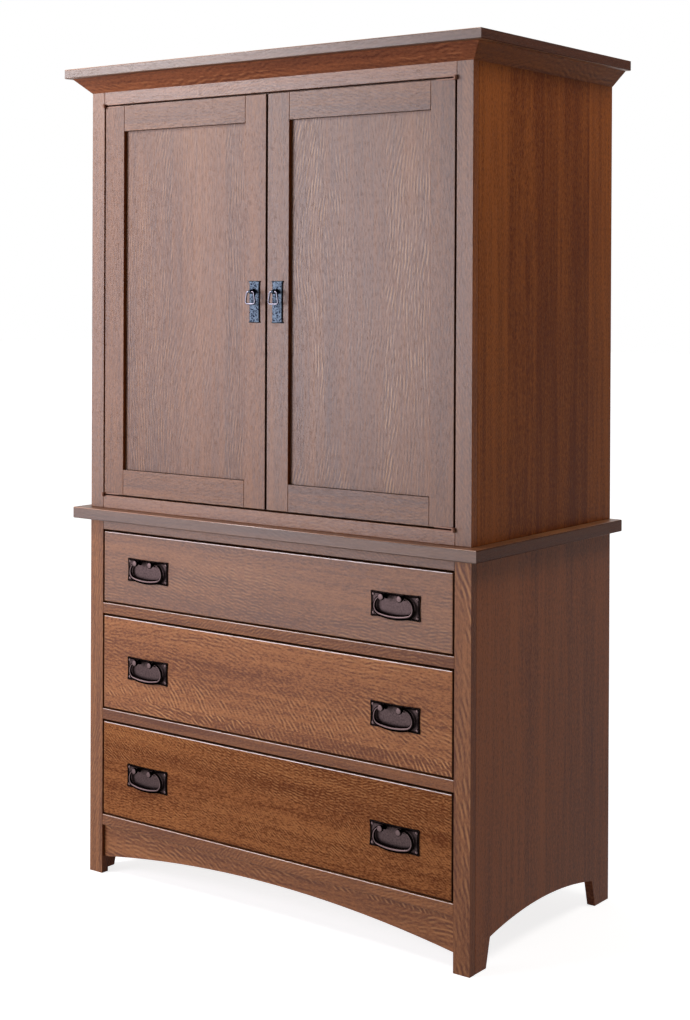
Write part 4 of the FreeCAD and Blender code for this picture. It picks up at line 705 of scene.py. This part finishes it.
for number in (1, 2, 3):
    drawer = f"drawer_{number}"
    form, depths, nail_places = bmesh.new(), [], []
    for hand in ("left", "right"):
        place = joint_place[f"{drawer}_bail_{hand}_swing"]
        plate_z = place[2] - POST_RISE
        bail_plate(form, depths, place[0], plate_z)
        for sign in (-1, 1):
            turned_post(form, depths, POST_PROFILE, place[0] + sign * POST_HALF_SPACING, FRONT_Y - PLATE_FACE,
                        place[2])
            nail_x = place[0] + sign * (PLATE_HALF_WIDTH - NAIL_INSET)
            for up in (-1, 1):
                nail_z = plate_z + up * (PLATE_HALF_HEIGHT - NAIL_INSET)
                nail_places.append((nail_x, FRONT_Y - PLATE_FACE + NAIL_SUNK, nail_z))
    bmesh.ops.recalc_face_normals(form, faces=form.faces)
    plates = piece_from(drawer + "_pull_plates_cast", form, bronze)
    set_patina_and_shade(plates, depths)
    fixed(smooth(plates), drawer + "_pull_plates")
    nail_heads(drawer + "_nail_heads", nail_places, drawer, bronze)
    for hand in ("left", "right"):
        node = f"{drawer}_bail_{hand}"
        swelling_bail(node, joint_place[node + "_swing"])

# ---------------------------------------------------------------------------------------------
# Ring pulls. Hammered iron plates with flared ends, each with an eye post and a three-sided ring
# that hangs from it. The hollows of the hammer marks stay dark, and the ridges are rubbed.
# ---------------------------------------------------------------------------------------------
iron = fitting_finish("hammered iron", (0.060, 0.080, 0.105), (0.003, 0.004, 0.010), 0.40, edge_tint=BLACK)
highlit_iron = fitting_finish("rubbed iron", (0.24, 0.23, 0.28), (0.006, 0.006, 0.010), 0.35, edge_tint=BLACK)
RING_PLATE_HALF_WAIST, RING_PLATE_FLARE = 0.0133, 0.0030
RING_PLATE_HALF_HEIGHT, FLARE_HEIGHT = 0.0435, 0.0065
RING_PLATE_RISE = 0.0032
RIM_WIDTH, RIM_DROP = 0.0012, 0.85
ACROSS_STEPS, UP_STEPS = 26, 80
# Hammer marks to a metre, how far the plates' patterns lie apart, and how deep and how dark a mark is.
MARKS, PATTERNS_APART = 320.0, 900.0
MARK_DEPTH, MARK_WIDTH = 0.0007, 1.5
MARK_PATINA, MARK_FADE = 1.5, 1.6
EYE_PROFILE = (
    (-0.0006, 0.0066, 1.0), (0.0006, 0.0064, 0.7), (0.0014, 0.0056, 1.0), (0.0030, 0.0043, 1.0),
    (0.0080, 0.0042, 1.0), (0.0122, 0.0043, 0.9), (0.0146, 0.0038, 0.6), (0.0157, 0.0026, 0.4),
    (0.0160, 0.0010, 0.4),
)


def open_edges(form):
    """The edges that only one face meets."""
    return [edge for edge in form.edges if edge.is_boundary]


def ring_plate(node, place_x, place_z, eye_z):
    """A hammered plate whose ends flare to points, and its eye post."""
    form, depths = bmesh.new(), []
    rows = []
    for row in range(UP_STEPS + 1):
        z = RING_PLATE_HALF_HEIGHT * (2 * row / UP_STEPS - 1)
        beyond = max(0.0, (abs(z) - RING_PLATE_HALF_HEIGHT + FLARE_HEIGHT) / FLARE_HEIGHT)
        half = RING_PLATE_HALF_WAIST + RING_PLATE_FLARE * beyond ** 2
        end = max(0.0, 1 - (RING_PLATE_HALF_HEIGHT - abs(z)) / RIM_WIDTH)
        line = []
        for column in range(ACROSS_STEPS + 1):
            x = half * (2 * column / ACROSS_STEPS - 1)
            rim = max(end, 1 - (half - abs(x)) / RIM_WIDTH)
            nearest = noise.voronoi((x * MARKS + place_x * PATTERNS_APART, z * MARKS, 0.0))[0][0]
            ridge = min(1.0, MARK_WIDTH * nearest)
            dent = MARK_DEPTH * (ridge - 1) * (1 - rim)
            rise = (RING_PLATE_RISE + dent) * math.sqrt(1 - RIM_DROP * max(rim, 0.0) ** 2)
            line.append(form.verts.new((place_x + x, FRONT_Y - rise, place_z + z)))
            depths.append(max(rim, MARK_PATINA - MARK_FADE * ridge))
        rows.append(line)
    for below, above in zip(rows, rows[1:]):
        for column in range(ACROSS_STEPS):
            form.faces.new((below[column], below[column + 1], above[column + 1], above[column]))
    skirt = bmesh.ops.extrude_edge_only(form, edges=open_edges(form))["geom"]
    for corner in (part for part in skirt if isinstance(part, bmesh.types.BMVert)):
        corner.co.y = FRONT_Y
        depths.append(1.0)
    bmesh.ops.holes_fill(form, edges=open_edges(form))
    turned_post(form, depths, EYE_PROFILE, place_x, FRONT_Y - RING_PLATE_RISE, eye_z)
    bmesh.ops.recalc_face_normals(form, faces=form.faces)
    piece = piece_from(node + "_hammered", form, iron)
    set_patina_and_shade(piece, depths)
    piece.data.shade_smooth()
    return fixed(piece, node)


# The ring has a painted highlight where it looks forwards and painted shade on its sides: its dark grows from
# where a point looks this far forwards.
HIGHLIGHT_FROM, SHADE_GROWTH = 0.95, 2.2
for side in ("left", "right"):
    door = "door_" + side
    low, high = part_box(door + "_pull_plate")
    eye_z = joint_place[door + "_ring_swing"][2]
    ring_plate(door + "_pull_plate", (low.x + high.x) / 2, (low.z + high.z) / 2, eye_z)
    ring = piece_from(door + "_ring_forged", merged(door + "_ring"), highlit_iron)
    backward = [corner.normal.y for corner in ring.data.vertices]
    set_patina_and_shade(ring, [min(1.0, max(0.0, (turn + HIGHLIGHT_FROM) * SHADE_GROWTH)) for turn in backward])
    ring.data.shade_smooth()
    fixed(ring, door + "_ring")

# ---------------------------------------------------------------------------------------------
# Hinges, slides, pins, catches and the cable grommet. Plain bought fittings: the hinges lacquered
# brown like the wood, the slides and pins zinc-plated, the rest moulded.
# ---------------------------------------------------------------------------------------------
lacquered = fitting_finish("brown-lacquered hinge bronze", (0.300, 0.130, 0.075), (0.200, 0.085, 0.048), 0.45,
                           metallic=0.0)
zinc = fitting_finish("zinc-plated steel", (0.62, 0.63, 0.65), (0.30, 0.30, 0.31), 0.35)
plastic = fitting_finish("brown plastic", (0.05, 0.03, 0.022), (0.03, 0.02, 0.015), 0.5, metallic=0.0)
finish_of = {"bronze": lacquered, "hammered_iron": iron, "zinc_steel": zinc, "brown_plastic": plastic}
for node, slot in slot_of.items():
    if slot in finish_of:
        finish_node(node, finish_of[slot])

# ---------------------------------------------------------------------------------------------
# Floor. A pale matt ground that takes the armoire's shadow near its feet and turns white further
# off, so that it has no horizon.
# ---------------------------------------------------------------------------------------------
FLOOR_HALF = 30.0
SHADE_REACH, WHITE_REACH = 1.2, 5.0
NEAR_GLOW = 0.80
floor_form = bmesh.new()
bmesh.ops.create_grid(floor_form, x_segments=1, y_segments=1, size=FLOOR_HALF)
floor_finish = bpy.data.materials.new("pale floor")
floor_finish.use_nodes = True
tree = floor_finish.node_tree
surface = tree.nodes["Principled BSDF"]
surface.inputs["Base Color"].default_value = (0.55, 0.55, 0.56, 1.0)
surface.inputs["Roughness"].default_value = 0.9
surface.inputs["Specular IOR Level"].default_value = 0.0
surface.inputs["Emission Strength"].default_value = 1.0


def seen_rays(tree):
    """1 for rays that show a thing to the camera, straight or by way of gloss and glass."""
    path = put(tree, "ShaderNodeLightPath")
    seen = calc(tree, "ADD", path.outputs["Is Camera Ray"], path.outputs["Is Glossy Ray"])
    return calc(tree, "ADD", seen, path.outputs["Is Transmission Ray"], clamp=True)


from_middle = put(tree, "ShaderNodeVectorMath", put(tree, "ShaderNodeTexCoord").outputs["Object"],
                  operation="LENGTH").outputs["Value"]
paleness = ramp(tree, from_middle, SHADE_REACH, WHITE_REACH, NEAR_GLOW, 1.0)
paleness = calc(tree, "MULTIPLY", paleness, seen_rays(tree))
feed(tree, surface.inputs["Emission Color"], blended(tree, paleness, BLACK, WHITE))
piece_from("floor", floor_form, floor_finish)

# ---------------------------------------------------------------------------------------------
# Studio. It is pale behind the armoire and dim in front of it and to its right, and lit by three
# soft boxes: a wide window, a small key lamp nearer to the front, and a fill for the right side.
# ---------------------------------------------------------------------------------------------
PALE_SIDE = (-0.70, 0.70, 0.15)
DIM_GLOW = 0.25
LIGHT_GLOW = 0.55
world = bpy.data.worlds.new("studio")
bpy.context.scene.world = world
world.use_nodes = True
tree = world.node_tree
tree.nodes.clear()
towards = put(tree, "ShaderNodeTexCoord").outputs["Generated"]
aim = put(tree, "ShaderNodeVectorMath", towards, PALE_SIDE, operation="DOT_PRODUCT").outputs["Value"]
pale = ramp(tree, aim, 0.20, 0.85, DIM_GLOW, 1.0)
glow = calc(tree, "MULTIPLY_ADD", seen_rays(tree), 1.0 - LIGHT_GLOW, LIGHT_GLOW)
glow = calc(tree, "MULTIPLY", glow, pale)
in_view = put(tree, "ShaderNodeLightPath").outputs["Is Camera Ray"]
backdrop = put(tree, "ShaderNodeBackground", WHITE, calc(tree, "MAXIMUM", glow, in_view))
feed(tree, put(tree, "ShaderNodeOutputWorld").inputs["Surface"], backdrop.outputs[0])


def soft_box(name, centre, target, side, radiance, colour):
    """A square soft lamp that faces a place. Its power comes from the radiance of its face."""
    lamp = bpy.data.lights.new(name, "AREA")
    lamp.shape = "RECTANGLE"
    lamp.size = lamp.size_y = side
    lamp.energy = radiance * side * side * 4
    lamp.color = colour
    holder = bpy.data.objects.new(name, lamp)
    bpy.context.scene.collection.objects.link(holder)
    holder.location = centre
    holder.rotation_euler = (Vector(target) - Vector(centre)).to_track_quat("-Z", "Y").to_euler()


soft_box("window", (-2.10, -3.0, 1.42), (0.0, -0.25, 1.2), 1.9, 6.0, (1.0, 0.94, 1.02))
soft_box("key", (-1.6, -1.35, 2.4), (0.0, -0.25, 1.0), 0.55, 21.0, (1.0, 0.97, 0.95))
soft_box("fill", (1.6, 0.3, 2.9), (0.5, 0.0, 1.4), 1.0, 6.0, (1.0, 0.95, 0.88))

# ---------------------------------------------------------------------------------------------
# Camera. It stands to the right of the front, about level and at chest height, with its lens
# shifted so that the frame reaches down to the feet.
# ---------------------------------------------------------------------------------------------
EYE_PLACE = (2.30554, -3.04174, 1.30727)
# In pixels: the length of the lens, the height of the frame, and the row that the lens looks at.
LENS_LENGTH, FRAME_HEIGHT, CENTRE_ROW = 1743.7, 1020.0, 300.0
YAW, PITCH, ROLL = 0.64555, -0.00554, 0.00438
ahead = Vector((-math.sin(YAW) * math.cos(PITCH), math.cos(YAW) * math.cos(PITCH), math.sin(PITCH)))
rightward = Vector((math.cos(YAW), math.sin(YAW), 0.0))
upward = rightward.cross(ahead)
across = rightward * math.cos(ROLL) + upward * math.sin(ROLL)
upright = upward * math.cos(ROLL) - rightward * math.sin(ROLL)
eye = bpy.data.cameras.new("eye")
eye.sensor_width = 36.0
eye.lens = LENS_LENGTH / FRAME_HEIGHT * eye.sensor_width
eye.shift_y = (CENTRE_ROW - FRAME_HEIGHT / 2) / FRAME_HEIGHT
camera = bpy.data.objects.new("eye", eye)
bpy.context.scene.collection.objects.link(camera)
facing = Matrix((across, upright, -ahead)).transposed().to_4x4()
camera.matrix_world = Matrix.Translation(EYE_PLACE) @ facing
bpy.context.scene.camera = camera
bpy.context.scene.view_settings.view_transform = "Standard"
